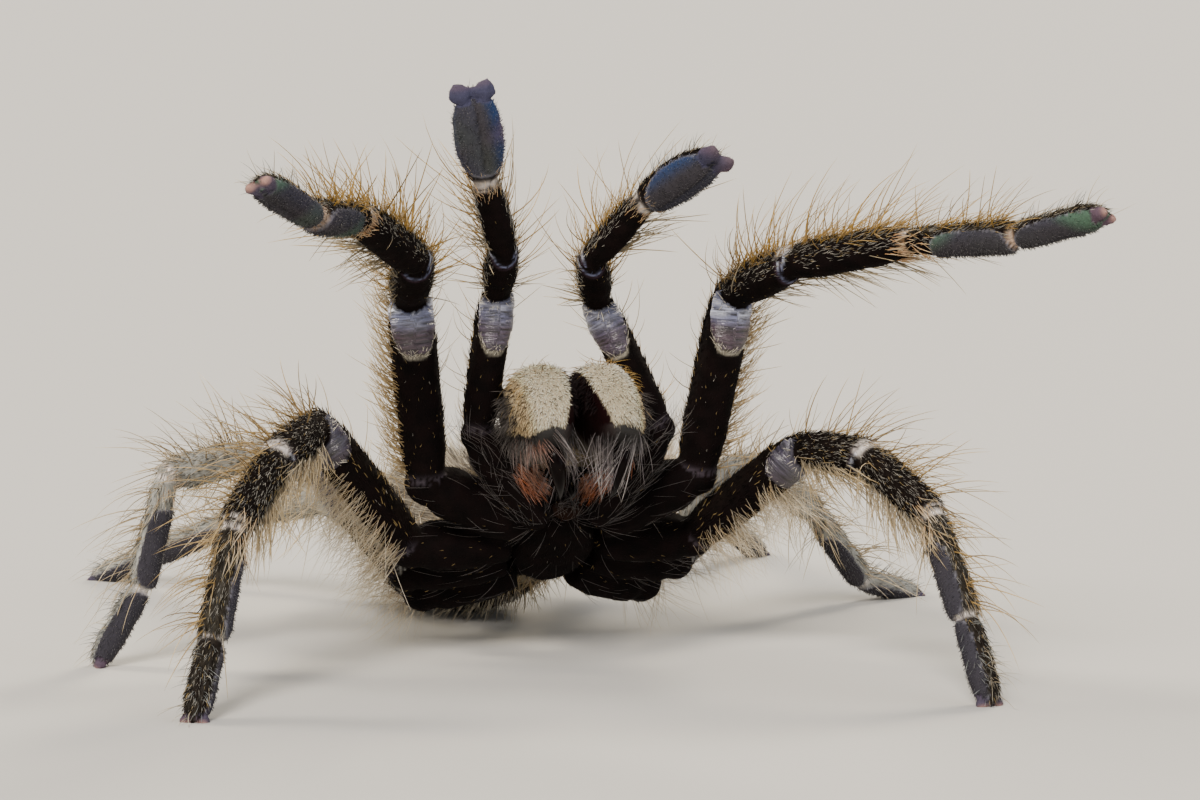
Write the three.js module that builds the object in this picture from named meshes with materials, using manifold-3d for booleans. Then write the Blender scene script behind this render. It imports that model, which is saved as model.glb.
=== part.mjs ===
// A tarantula in its threat pose, life size, in millimetres.
// +Z is up, the head faces -Y and the animal's left side is at +X. It stands on the plane z = 0.
// The front body (carapace, sternum, jaws and hips) is laid out in its own coordinates:
// x across, f forward along the body, u up through the back, from the middle of the sternum.

import * as THREE from 'three';
import { mergeVertices } from 'three/addons/utils/BufferGeometryUtils.js';
import Module from 'manifold-3d';

const wasm = await Module();
wasm.setup();

// ---- Driving dimensions ----

const rearing = 44;                   // tilt of the front body, degrees
const sternumHeight = 9;              // middle of the sternum above the floor
const standOffset = [-1.445, -8.141]; // brings the middle of the whole animal to the origin
const jointGap = 0.1;                 // each side of a joint between two limb pieces
const fitGap = 0.12;                  // where one piece is cut to clear its neighbour
const limbSides = 10;
const hipSides = 8;
const tipHeight = 0.05;               // middle of a standing leg's tip above the floor

const carapace = {
  halfWidth: 8.5, frontReach: 12.6, rearReach: 10.2, frontEdge: 9.1,
  rim: 3.6, dome: 4.7, rimDepth: 0.5, frontTaper: 0.2,
};
const tubercle = { f: 7.1, u: 7.25, halfWidth: 1.9, halfLength: 1.25, height: 1.1 };
const sternum = { halfWidth: 3.7, halfLength: 4.5, low: -0.9, high: 3.35, bulge: 0.5 };
const labium = { f: 5.7, u: -0.3, halfWidth: 1.35, halfLength: 0.95, halfHeight: 1.0 };
const abdomen = {
  halfLength: 12.8, halfWidth: 8.6, halfHeight: 7.55,
  centre: [-1.4, 24, 7.35], swing: 8, pitch: -3, rearFullness: 0.12,
};
const pedicel = { radius: 1.15, start: [0, -4.75, 2.2], frontDepth: 2.5, drop: 1.6 };
const spinneret = { length: 5, radius: 0.8, spread: 14, rise: 12 };

// The eyes sit on the tubercle in two rows: place across, place forward, half width, half length.
const eyeRows = {
  front_median: [0.46, 0.5, 0.29, 0.29],
  front_lateral: [1.14, 0.42, 0.34, 0.25],
  rear_median: [0.74, -0.3, 0.2, 0.17],
  rear_lateral: [1.22, -0.32, 0.27, 0.2],
};

// One jaw's base, from the carapace forward along its middle: x, f, u, half width, half height.
// Both jaws swing a little to the animal's right.
const jawRings = [
  [2.9, 9.25, 4.5, 2.6, 3.1],
  [3.0, 11.2, 4.75, 2.8, 3.7],
  [2.95, 13.4, 4.3, 2.8, 3.95],
  [2.9, 15.3, 3.0, 2.65, 3.75],
  [2.9, 16.4, 1.45, 2.5, 3.3],
  [2.95, 16.9, 0.0, 2.3, 2.75],
  [3.0, 17.05, -1.25, 1.95, 2.1],
  [3.0, 17.05, -1.9, 1.2, 1.3],
];
const jawSwing = Math.tan(THREE.MathUtils.degToRad(5));
const fang = { base: [2.8, 16.3, -1.6], bend: [2.7, 16.2, -5.0], tip: [2.0, 11.0, -3.0], radius: 0.95 };

// Each limb: where its coxa leaves the sternum and where its trochanter ends (x, f, u),
// the coxa's half width and half height, then the length and half thickness of each segment.
const limbs = {
  palp: {
    root: [1.9, 4.6, -0.4], hip: [7.7, 10.6, 4.0], coxa: [2.2, 2.4],
    length: [12, 6.2, 7, 8], radius: [1.75, 1.65, 1.55, 1.75],
  },
  leg1: {
    root: [3.3, 2.9, 0.6], hip: [11.5, 6.4, 2.4], coxa: [2.35, 2.6],
    length: [16, 8.5, 11, 10, 8], radius: [2.15, 2.0, 1.85, 1.55, 1.35],
  },
  leg2: {
    root: [3.9, 0.5, 0.6], hip: [12.2, 0.3, 0.4], coxa: [2.25, 2.5],
    length: [14, 7.5, 9, 9, 7.5], radius: [2.1, 1.95, 1.8, 1.5, 1.3],
  },
  leg3: {
    root: [3.7, -1.8, 0.6], hip: [11.6, -3.8, 1.0], coxa: [2.15, 2.4],
    length: [11.3, 6.2, 7.4, 9.4, 7.4], radius: [2.05, 1.9, 1.75, 1.45, 1.3],
  },
  leg4: {
    root: [2.5, -3.9, 0.8], hip: [9.6, -7.6, 1.6], coxa: [2.3, 2.4],
    length: [15, 7.5, 11.5, 13, 8], radius: [2.15, 1.95, 1.8, 1.5, 1.3],
  },
};

// Each segment's heading, outwards from straight ahead, and its rise above level, in degrees.
// A standing leg's last segment has only a heading: it comes down until its tip meets the floor.
const pose = {
  palp_right: [[-26, 78], [8, 37], [34, 53], [46, 74]],
  palp_left: [[-84, 63], [-21, 38], [34, 42], [48, 32]],
  leg1_right: [[35, 77], [10, 24], [36, 20], [33, 5], [45, 21]],
  leg1_left: [[26, 74], [18, 20], [39, 11], [36, 5], [42, 15]],
  leg2_right: [[68, 49], [38, -12], [36, -30], [47, -70], [27]],
  leg2_left: [[35, 36], [25, 0], [20, -25], [14, -57], [8]],
  leg3_right: [[106, 50], [102, 10], [74, -10], [84, -75], [96]],
  leg3_left: [[130, 36], [128, -8], [124, -32], [118, -46], [114]],
  leg4_right: [[172, 18], [168, 6], [158, -12], [138, -22], [138]],
  leg4_left: [[160, 22], [156, 6], [150, -12], [142, -24], [138]],
};

// The way the back of a limb faces. The raised palps and first legs turn their undersides forward.
const backReference = {
  palp: [0, 0.7, 0.7], leg1: [0, 0.6, 0.8], leg2: [0, 0, 1], leg3: [0, 0, 1], leg4: [0, 0, 1],
};

// Thickness along each segment: how far along, then how wide and how deep for its half thickness.
const profiles = {
  femur: [[0, 0.84, 0.84], [0.22, 1, 1.02], [0.8, 1, 1.02], [1, 0.86, 0.84]],
  patella: [[0, 0.84, 0.84], [0.4, 1, 1], [1, 0.9, 0.88]],
  tibia: [[0.25, 1, 1], [0.8, 0.97, 0.97], [1, 0.84, 0.82]],
  metatarsus: [[0, 0.84, 0.82], [0.15, 0.95, 0.92], [0.9, 1.04, 0.98], [1, 0.92, 0.86]],
  tarsus: [[0.15, 1.04, 0.98], [0.7, 1.06, 1], [0.92, 1, 0.9], [1, 0.75, 0.6]],
  palpTarsus: [[0, 0.82, 0.8], [0.14, 1, 0.92], [0.5, 1.14, 1], [0.88, 1.12, 0.94], [1, 0.9, 0.55]],
};

// The coxa's, for its half width and half height, and the knob that its trochanter makes.
const coxaProfile = [[0, 0.7, 0.85], [0.3, 1, 1], [0.85, 1, 1], [1, 0.85, 0.85]];
const trochanter = { size: 0.98, face: 0.5, overlap: 0.6 };

// ---- Materials ----

const finishes = {
  blackVelvet: { color: 0x241f1e, roughness: 0.85 },
  oliveCoat: { color: 0x4a4034, roughness: 0.85 },
  greyCoat: { color: 0x7d766c, roughness: 0.85 },
  scopula: { color: 0x4a4e5c, roughness: 0.7 },
  creamPile: { color: 0xcdbd98, roughness: 0.9 },
  tanPlate: { color: 0x6b4a33, roughness: 0.5 },
  fangHorn: { color: 0x120b0b, roughness: 0.2 },
  eyeGlass: { color: 0x0b0a0c, roughness: 0.05 },
};

function finish(name) {
  return new THREE.MeshStandardMaterial({ ...finishes[name], metalness: 0, name });
}

// ---- Directions and places ----

const tilt = THREE.MathUtils.degToRad(rearing);
const forward = new THREE.Vector3(0, -Math.cos(tilt), Math.sin(tilt));
const backUp = new THREE.Vector3(0, Math.sin(tilt), Math.cos(tilt));

function bodyPoint(x, f, u) {
  return new THREE.Vector3(x, 0, sternumHeight).addScaledVector(forward, f).addScaledVector(backUp, u);
}

function aim(side, heading, rise) {
  const h = THREE.MathUtils.degToRad(heading);
  const e = THREE.MathUtils.degToRad(rise);
  return new THREE.Vector3(side * Math.sin(h) * Math.cos(e), -Math.cos(h) * Math.cos(e), Math.sin(e));
}

// ---- Solids ----

// A solid body from a closed geometry, turned so that its faces point out.
function toSolid(geometry) {
  const bare = geometry.clone();
  bare.deleteAttribute('normal');
  bare.deleteAttribute('uv');
  const merged = mergeVertices(bare, 1e-3);
  const index = merged.index.array;
  const corners = [0, 1, 2].map(() => new THREE.Vector3());
  const kept = [];
  let volume = 0;
  for (let i = 0; i < index.length; i += 3) {
    const face = [index[i], index[i + 1], index[i + 2]];
    if (new Set(face).size < 3) continue;
    kept.push(face);
    face.forEach((vertex, k) => corners[k].fromBufferAttribute(merged.attributes.position, vertex));
    volume += corners[0].dot(corners[1].clone().cross(corners[2]));
  }
  const triVerts = kept.flatMap((face) => (volume < 0 ? face.reverse() : face));
  return new wasm.Manifold(new wasm.Mesh({
    numProp: 3,
    vertProperties: new Float32Array(merged.attributes.position.array),
    triVerts: new Uint32Array(triVerts),
  }));
}

function toGeometry(solid) {
  const mesh = solid.getMesh();
  const geometry = new THREE.BufferGeometry();
  geometry.setAttribute('position', new THREE.BufferAttribute(new Float32Array(mesh.vertProperties), 3));
  geometry.setIndex(new THREE.BufferAttribute(new Uint32Array(mesh.triVerts), 1));
  return mergeVertices(geometry, 1e-3);
}

// What is left of a solid after its neighbours are cut away: its largest piece.
function carve(solid, ...cutters) {
  let rest = solid;
  for (const cutter of cutters) rest = rest.subtract(cutter);
  return rest.decompose().reduce((best, piece) => (piece.volume() > best.volume() ? piece : best));
}

const floorBlock = toSolid(new THREE.BoxGeometry(300, 300, 20).translate(0, 0, -10));

// Moves every point of a geometry by a rule.
function reshape(geometry, rule) {
  const position = geometry.attributes.position;
  const point = new THREE.Vector3();
  for (let i = 0; i < position.count; i += 1) {
    const moved = rule(point.fromBufferAttribute(position, i));
    position.setXYZ(i, moved.x, moved.y, moved.z);
  }
  return geometry;
}

// A round bar whose rings are placed by a rule from the ring's number and the point on its unit circle.
function ringBar(sides, ringCount, rule) {
  const bar = new THREE.CylinderGeometry(1, 1, 1, sides, ringCount - 1);
  return reshape(bar, (p) => rule(Math.round((p.y + 0.5) * (ringCount - 1)), p.x, p.z));
}

// ---- Front body ----

function carapaceSolid(grow = 0) {
  const c = carapace;
  const dome = reshape(new THREE.SphereGeometry(1, 20, 10), (p) => {
    const ahead = Math.max(0, p.y);
    const x = p.x * (c.halfWidth + grow) * (1 - c.frontTaper * ahead);
    const f = p.y * ((p.y > 0 ? c.frontReach : c.rearReach) + grow);
    const fovea = 0.9 * Math.exp(-((x / 1.4) ** 2) - ((f + 1.5) / 1.1) ** 2);
    const headRise = 0.7 * Math.exp(-((x / 4.5) ** 2) - ((f - 5.5) / 4) ** 2);
    const rise = c.dome * Math.max(0, p.z) ** 0.72 + (headRise - fovea) * Math.max(0, p.z);
    const u = c.rim + (p.z > 0 ? rise + grow : p.z * (c.rimDepth + grow));
    return bodyPoint(x, f, u);
  });
  const t = tubercle;
  const mound = reshape(new THREE.SphereGeometry(1, 12, 6), (p) => bodyPoint(
    p.x * t.halfWidth, t.f + p.y * t.halfLength, t.u + p.z * t.height));
  const beyond = toSolid(reshape(new THREE.BoxGeometry(30, 20, 30), (p) => bodyPoint(
    p.x, c.frontEdge + grow + 10 + p.y, p.z + 5)));
  return toSolid(dome).add(toSolid(mound)).subtract(beyond);
}

// An eye lies half sunk in the tubercle, facing out of it.
function eyeSolid(side, [x, ahead, halfWidth, halfLength], grow = 0) {
  const t = tubercle;
  const level = Math.sqrt(1 - (x / t.halfWidth) ** 2 - (ahead / t.halfLength) ** 2);
  const outward = new THREE.Vector3(side * x / t.halfWidth ** 2, ahead / t.halfLength ** 2, level / t.height);
  const facing = new THREE.Quaternion().setFromUnitVectors(new THREE.Vector3(0, 0, 1), outward.normalize());
  const ball = reshape(new THREE.SphereGeometry(1, 8, 5), (p) => {
    const local = new THREE.Vector3(
      p.x * (halfWidth + grow), p.y * (halfLength + grow), p.z * (halfLength * 0.8 + grow));
    local.applyQuaternion(facing);
    return bodyPoint(side * x + local.x, t.f + ahead + local.y, t.u + t.height * level + local.z);
  });
  return toSolid(ball);
}

// The sternum is a heart-shaped shield, with the body's core above it.
function sternumSolid(grow = 0) {
  const s = sternum;
  return toSolid(reshape(new THREE.CylinderGeometry(1, 1, 1, 18, 2), (p) => {
    const point = p.z < 0 ? 1 - 0.25 * p.z * p.z : 1;
    const x = p.x * (s.halfWidth * point + grow);
    const f = p.z * (s.halfLength + grow);
    const middle = 1 - p.x * p.x - p.z * p.z;
    const u = p.y < -0.4 ? s.low - grow - s.bulge * middle : s.low + (p.y + 0.5) * (s.high - s.low);
    return bodyPoint(x, f, u);
  }));
}

function labiumSolid(grow = 0) {
  const l = labium;
  return toSolid(reshape(new THREE.SphereGeometry(1, 10, 6), (p) => bodyPoint(
    p.x * (l.halfWidth + grow), l.f + p.y * (l.halfLength + grow), l.u + p.z * (l.halfHeight + grow))));
}

function jawPoint(x, f, u) {
  return bodyPoint(x - (f - carapace.frontEdge) * jawSwing, f, u);
}

// A jaw's base: a deep arched segment, its rings square to its own curved middle line.
// Its inner upper edge is fuller than round, so that the two jaws close against each other.
function jawSolid(side, grow = 0) {
  const bar = ringBar(14, jawRings.length, (k, across, deep) => {
    const [x, f, u, halfWidth, halfHeight] = jawRings[k];
    const before = jawRings[Math.max(0, k - 1)];
    const after = jawRings[Math.min(jawRings.length - 1, k + 1)];
    const slope = k === 0 ? 0 : Math.atan2(after[2] - before[2], after[1] - before[1]);
    const inner = Math.max(0, -across * side);
    const full = inner > 0 && deep > 0 ? (inner ** 4 + deep ** 4) ** -0.25 : 1;
    const closer = inner > 0 ? 1.02 : 1;
    const offset = deep * full * (halfHeight + grow);
    const out = side * x + across * full * closer * (halfWidth + grow);
    return jawPoint(out, f - offset * Math.sin(slope), u + offset * Math.cos(slope));
  });
  return toSolid(bar);
}

function fangSolid(side) {
  const line = new THREE.QuadraticBezierCurve3(
    ...[fang.base, fang.bend, fang.tip].map(([x, f, u]) => jawPoint(side * x, f, u)));
  const rings = 6;
  return toSolid(ringBar(8, rings, (k, across, deep) => {
    const t = k / (rings - 1);
    const along = line.getTangent(t);
    const wide = new THREE.Vector3(1, 0, 0).cross(along).normalize().cross(along).negate();
    const high = wide.clone().cross(along);
    const radius = fang.radius * (1 - 0.72 * t ** 1.4);
    return line.getPoint(t).addScaledVector(wide, across * radius).addScaledVector(high, deep * radius);
  }));
}

function barBetween(start, end, startRadius, endRadius, sides) {
  const along = end.clone().sub(start);
  const way = along.clone().normalize();
  const turn = new THREE.Quaternion().setFromUnitVectors(new THREE.Vector3(0, 1, 0), way);
  return new THREE.CylinderGeometry(endRadius, startRadius, along.length(), sides)
    .applyQuaternion(turn).translate(...start.clone().addScaledVector(along, 0.5).toArray());
}

// ---- Hind body ----

function abdomenTurn() {
  return new THREE.Matrix4()
    .makeTranslation(...abdomen.centre)
    .multiply(new THREE.Matrix4().makeRotationZ(THREE.MathUtils.degToRad(abdomen.swing)))
    .multiply(new THREE.Matrix4().makeRotationX(THREE.MathUtils.degToRad(abdomen.pitch)));
}

function abdomenSolid(grow = 0) {
  const a = abdomen;
  const egg = reshape(new THREE.SphereGeometry(1, 20, 11), (p) => {
    const full = 1 + a.rearFullness * p.y;
    return new THREE.Vector3(
      p.x * (a.halfWidth + grow) * full, p.y * (a.halfLength + grow), p.z * (a.halfHeight + grow) * full);
  });
  return toSolid(egg.applyMatrix4(abdomenTurn())).subtract(floorBlock);
}

function spinneretSolid(side) {
  const root = new THREE.Vector3(side * 1.5, abdomen.halfLength - 1.6, -1.2);
  const way = aim(side, 180 - spinneret.spread, spinneret.rise);
  const tip = root.clone().addScaledVector(way, spinneret.length);
  const bar = barBetween(root, tip, spinneret.radius, spinneret.radius * 0.45, 8);
  return toSolid(bar.applyMatrix4(abdomenTurn()));
}

// ---- Limbs ----

// The joints of one limb: the hip, then the end of each segment.
function limbJoints(kind, side, steps) {
  const { hip, length } = limbs[kind];
  const joints = [bodyPoint(side * hip[0], hip[1], hip[2])];
  steps.forEach(([heading, rise], k) => {
    const from = joints[k];
    const drop = THREE.MathUtils.radToDeg(Math.asin((tipHeight - from.z) / length[k]));
    joints.push(from.clone().addScaledVector(aim(side, heading, rise ?? drop), length[k]));
  });
  return joints;
}

// A hip: the coxa, a flattened bar from the sternum's edge, and the trochanter, a knob on its end
// that is cut flat where the femur meets it.
function hipSolid(kind, side, femurWay) {
  const { root, hip, coxa, radius } = limbs[kind];
  const start = bodyPoint(side * root[0], root[1], root[2]);
  const end = bodyPoint(side * hip[0], hip[1], hip[2]);
  const way = end.clone().sub(start).normalize();
  const wide = way.clone().cross(backUp).normalize();
  const deep = wide.clone().cross(way);
  const length = start.distanceTo(end) - trochanter.overlap;
  const bar = ringBar(hipSides, coxaProfile.length, (k, across, deepwise) => {
    const [t, widthShare, depthShare] = coxaProfile[k];
    return start.clone()
      .addScaledVector(way, t * length)
      .addScaledVector(wide, across * coxa[0] * widthShare)
      .addScaledVector(deep, deepwise * coxa[1] * depthShare);
  });
  const knob = new THREE.SphereGeometry(radius[0] * trochanter.size, hipSides, 5).translate(...end.toArray());
  const beyond = new THREE.BoxGeometry(12, 6, 12)
    .translate(0, 3 + radius[0] * trochanter.face - jointGap, 0)
    .applyQuaternion(new THREE.Quaternion().setFromUnitVectors(new THREE.Vector3(0, 1, 0), femurWay))
    .translate(...end.toArray());
  return toSolid(bar).add(toSolid(knob)).subtract(toSolid(beyond));
}

// How far a joint's parting plane, halfway between two directions, moves a point along the second one.
function mitre(offset, before, after) {
  const normal = before.clone().add(after).normalize();
  return THREE.MathUtils.clamp(-offset.dot(normal) / after.dot(normal), -3, 3);
}

// A limb piece of one or more segments. Its rings follow each segment's profile, and lean over
// to the parting plane at each joint, so that neighbouring pieces meet face to face.
function limbPiece(joints, first, segments, reference) {
  const ways = joints.slice(1).map((end, k) => end.clone().sub(joints[k]).normalize());
  const rings = segments.flatMap(({ profile, radius }, k) => profile.map(
    ([t, wide, deep]) => ({ index: first + k, t, wide: wide * radius, deep: deep * radius })));
  const last = first + segments.length - 1;
  return toSolid(ringBar(limbSides, rings.length, (k, across, deepwise) => {
    const ring = rings[k];
    const way = ways[ring.index];
    const back = reference.clone().addScaledVector(way, -reference.dot(way)).normalize();
    const wide = way.clone().cross(back);
    const length = joints[ring.index].distanceTo(joints[ring.index + 1]);
    const offset = wide.multiplyScalar(across * ring.wide).addScaledVector(back, deepwise * ring.deep);
    const startLean = ring.index > 0 ? mitre(offset, ways[ring.index - 1], way) : 0;
    const endLean = ring.index < ways.length - 1 ? mitre(offset, ways[ring.index + 1], way) : 0;
    const face = ring.index === 0 ? ring.deep / profiles.femur[0][2] * trochanter.face : 0;
    const startGap = ring.index === first ? jointGap + face : 0;
    const endGap = ring.index === last ? -jointGap : 0;
    const reach = ring.t * length + (1 - ring.t) * (startLean + startGap) + ring.t * (endLean + endGap);
    return joints[ring.index].clone().add(offset).addScaledVector(way, reach);
  }));
}

// The four pieces of a limb: hip, femur, shank (patella and tibia) and foot (metatarsus and tarsus).
function limbSolids(kind, side, steps) {
  const { radius } = limbs[kind];
  const reference = new THREE.Vector3(...backReference[kind]);
  const joints = limbJoints(kind, side, steps);
  const piece = (first, names) => limbPiece(joints, first, names.map(
    (name, k) => ({ profile: profiles[name], radius: radius[first + k] })), reference);
  return {
    hip: hipSolid(kind, side, aim(side, ...steps[0])),
    femur: piece(0, ['femur']),
    shank: piece(1, ['patella', 'tibia']),
    foot: piece(3, kind === 'palp' ? ['palpTarsus'] : ['metatarsus', 'tarsus']).subtract(floorBlock),
  };
}

// The upright plane halfway between two neighbouring hips, as a block that cuts the far side away.
function hipDivider(kind, other, side) {
  const [a, b] = [limbs[kind], limbs[other]];
  const near = [(a.root[0] + b.root[0]) / 2, (a.root[1] + b.root[1]) / 2];
  const far = [(a.hip[0] + b.hip[0]) / 2, (a.hip[1] + b.hip[1]) / 2];
  const angle = Math.atan2(far[1] - near[1], far[0] - near[0]);
  const across = (b.hip[1] - a.hip[1]) * Math.cos(angle) - (b.hip[0] - a.hip[0]) * Math.sin(angle);
  const towards = Math.sign(across);
  const block = new THREE.BoxGeometry(60, 20, 60).translate(0, towards * (10 - fitGap), 0).rotateZ(angle);
  reshape(block, (p) => bodyPoint(side * (p.x + near[0]), p.y + near[1], p.z));
  return toSolid(block);
}

// ---- The animal ----

const group = new THREE.Group();
group.position.set(standOffset[0], standOffset[1], 0);

function addNode(name, solid, look) {
  const mesh = new THREE.Mesh(toGeometry(solid), finish(look));
  mesh.name = name;
  group.add(mesh);
}

const sides = { left: 1, right: -1 };
const sidePairs = Object.entries(sides);
const eyes = sidePairs.flatMap(([sideName, side]) => Object.entries(eyeRows).map(
  ([row, eye]) => ({ name: `eye_${row}_${sideName}`, side, eye })));

const eyeSockets = eyes.map(({ side, eye }) => eyeSolid(side, eye, 0.03));
addNode('carapace', carve(carapaceSolid(), ...eyeSockets), 'oliveCoat');
for (const { name, side, eye } of eyes) addNode(name, eyeSolid(side, eye), 'eyeGlass');

const carapaceSpace = carapaceSolid(fitGap);
const sternumSpace = sternumSolid(fitGap);
const labiumSpace = labiumSolid(fitGap);
const jawSpaces = sidePairs.map(([, side]) => jawSolid(side, fitGap));
addNode('sternum', carve(sternumSolid(), carapaceSpace), 'blackVelvet');
addNode('labium', carve(labiumSolid(), sternumSpace, ...jawSpaces), 'tanPlate');

for (const [sideName, side] of sidePairs) {
  addNode(`chelicera_${sideName}`, carve(jawSolid(side), carapaceSpace, sternumSpace), 'creamPile');
  addNode(`fang_${sideName}`, carve(fangSolid(side), ...jawSpaces), 'fangHorn');
}

const pedicelStart = bodyPoint(...pedicel.start);
const pedicelEnd = new THREE.Vector3(0, pedicel.frontDepth - abdomen.halfLength, -pedicel.drop)
  .applyMatrix4(abdomenTurn());
const pedicelSolid = (grow) => toSolid(
  barBetween(pedicelStart, pedicelEnd, pedicel.radius + grow, pedicel.radius + grow, 12));
addNode('abdomen', abdomenSolid(), 'greyCoat');
addNode('pedicel', carve(pedicelSolid(0), abdomenSolid(fitGap), carapaceSpace, sternumSpace), 'oliveCoat');
for (const [sideName, side] of sidePairs) {
  addNode(`spinneret_${sideName}`, carve(spinneretSolid(side), abdomenSolid(fitGap)), 'greyCoat');
}

const kinds = Object.keys(limbs);
for (const [sideName, side] of sidePairs) {
  for (const [k, kind] of kinds.entries()) {
    const pieces = limbSolids(kind, side, pose[`${kind}_${sideName}`]);
    const neighbours = [kinds[k - 1], kinds[k + 1]].filter(Boolean);
    const dividers = neighbours.map((other) => hipDivider(kind, other, side));
    const hip = carve(pieces.hip, ...dividers, ...jawSpaces, carapaceSpace, sternumSpace, labiumSpace,
      pedicelSolid(fitGap));
    addNode(`${kind}_hip_${sideName}`, hip, 'blackVelvet');
    addNode(`${kind}_femur_${sideName}`, carve(pieces.femur, ...jawSpaces), 'blackVelvet');
    addNode(`${kind}_shank_${sideName}`, pieces.shank, 'oliveCoat');
    addNode(`${kind}_foot_${sideName}`, pieces.foot, 'scopula');
  }
}

export default group;
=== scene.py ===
import bpy
import math
import numpy as np
from mathutils import Matrix
from mathutils.kdtree import KDTree


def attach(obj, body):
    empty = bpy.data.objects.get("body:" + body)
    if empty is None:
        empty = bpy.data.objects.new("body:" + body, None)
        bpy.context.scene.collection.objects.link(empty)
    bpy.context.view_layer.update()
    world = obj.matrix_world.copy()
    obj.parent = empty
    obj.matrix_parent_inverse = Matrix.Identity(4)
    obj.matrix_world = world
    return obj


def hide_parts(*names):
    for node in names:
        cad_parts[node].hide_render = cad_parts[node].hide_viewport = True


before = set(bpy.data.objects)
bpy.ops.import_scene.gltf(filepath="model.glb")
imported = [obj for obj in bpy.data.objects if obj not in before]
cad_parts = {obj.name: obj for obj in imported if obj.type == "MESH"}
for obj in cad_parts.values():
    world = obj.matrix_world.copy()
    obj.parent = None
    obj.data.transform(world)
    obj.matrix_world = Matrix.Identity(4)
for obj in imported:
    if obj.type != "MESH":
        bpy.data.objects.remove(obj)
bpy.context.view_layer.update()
print("frame loaded:", len(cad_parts), "nodes")

# Everything is worked out in millimetres and goes into Blender in metres.
# The head faces -Y, the animal's left side is at +X, and the floor is z = 0.
mm = 0.001
chance = np.random.default_rng(44)

stance = {
    "rearing": 44,                 # tilt of the front body, degrees
    "sternumHeight": 9,
    "offset": (-1.445, -8.141),
    "tipHeight": 0.05,
    "coatDepth": 0.3,              # the skin lies this far inside the solids
    "floorGap": 0.01,
}

# Hip points and roots are across, forward and up from the middle of the sternum.
limbBuild = {
    "palp": {"root": (1.9, 4.6, -0.4), "hip": (7.7, 10.6, 4.0), "coxa": (2.2, 2.4), "back": (0, 0.7, 0.7),
             "length": (12, 6.2, 7, 8), "radius": (1.75, 1.65, 1.55, 1.75)},
    "leg1": {"root": (3.3, 2.9, 0.6), "hip": (11.5, 6.4, 2.4), "coxa": (2.35, 2.6), "back": (0, 0.6, 0.8),
             "length": (16, 8.5, 11, 10, 8), "radius": (2.15, 2.0, 1.85, 1.55, 1.35)},
    "leg2": {"root": (3.9, 0.5, 0.6), "hip": (12.2, 0.3, 0.4), "coxa": (2.25, 2.5), "back": (0, 0, 1),
             "length": (14, 7.5, 9, 9, 7.5), "radius": (2.1, 1.95, 1.8, 1.5, 1.3)},
    "leg3": {"root": (3.7, -1.8, 0.6), "hip": (11.6, -3.8, 1.0), "coxa": (2.15, 2.4), "back": (0, 0, 1),
             "length": (11.3, 6.2, 7.4, 9.4, 7.4), "radius": (2.05, 1.9, 1.75, 1.45, 1.3)},
    "leg4": {"root": (2.5, -3.9, 0.8), "hip": (9.6, -7.6, 1.6), "coxa": (2.3, 2.4), "back": (0, 0, 1),
             "length": (15, 7.5, 11.5, 13, 8), "radius": (2.15, 1.95, 1.8, 1.5, 1.3)},
}

# Heading outwards from straight ahead and rise above level, in degrees, from femur to tarsus.
# A foot with no rise reaches down to the floor.
limbPose = {
    "palp_right": ((-26, 78), (8, 37), (34, 53), (46, 74)),
    "palp_left": ((-84, 63), (-21, 38), (34, 42), (48, 32)),
    "leg1_right": ((35, 77), (10, 24), (36, 20), (33, 5), (45, 21)),
    "leg1_left": ((26, 74), (18, 20), (39, 11), (36, 5), (42, 15)),
    "leg2_right": ((68, 49), (38, -12), (36, -30), (47, -70), (27, None)),
    "leg2_left": ((35, 36), (25, 0), (20, -25), (14, -57), (8, None)),
    "leg3_right": ((106, 50), (102, 10), (74, -10), (84, -75), (96, None)),
    "leg3_left": ((130, 36), (128, -8), (124, -32), (118, -46), (114, None)),
    "leg4_right": ((172, 18), (168, 6), (158, -12), (138, -22), (138, None)),
    "leg4_left": ((160, 22), (156, 6), (150, -12), (142, -24), (138, None)),
}
limbNames = list(limbPose)

# How far along, half width and half depth, as shares of the length and the radius.
segmentProfiles = {
    "hip": ((0, 0.7, 0.85), (0.3, 1, 1), (0.85, 1, 1), (1, 0.8, 0.8)),
    "femur": ((0, 0.84, 0.84), (0.22, 1, 1.02), (0.8, 1, 1.02), (1, 0.86, 0.84)),
    "patella": ((0, 0.84, 0.84), (0.4, 1, 1), (0.85, 0.96, 0.95), (1, 0.88, 0.86)),
    "tibia": ((0, 0.88, 0.86), (0.25, 1, 1), (0.8, 0.97, 0.97), (1, 0.84, 0.82)),
    "metatarsus": ((0, 0.84, 0.82), (0.15, 0.95, 0.92), (0.9, 1.04, 0.98), (1, 0.92, 0.86)),
    "tarsus": ((0, 0.92, 0.86), (0.15, 1.04, 0.98), (0.7, 1.06, 1), (0.86, 0.98, 0.88), (0.93, 0.7, 0.7),
               (1, 0.3, 0.4)),
    "palpTarsus": ((0, 0.74, 0.8), (0.14, 0.98, 0.92), (0.42, 1.18, 1), (0.68, 1.12, 0.96), (0.81, 0.98, 0.8),
                   (0.86, 0.6, 0.45), (0.88, 0.15, 0.1)),
}

tilt = math.radians(stance["rearing"])
forward = np.array([0, -math.cos(tilt), math.sin(tilt)])
backUp = np.array([0, math.sin(tilt), math.cos(tilt)])
bodyMiddle = np.array([*stance["offset"], stance["sternumHeight"]])
across = np.array([1.0, 0, 0])


def bodyPoint(x, f, u):
    x, f, u = (np.asarray(v, float)[..., None] for v in (x, f, u))
    return bodyMiddle + x * across + f * forward + u * backUp


def unit(v):
    v = np.asarray(v, float)
    return v / np.maximum(np.linalg.norm(v, axis=-1, keepdims=True), 1e-9)


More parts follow.
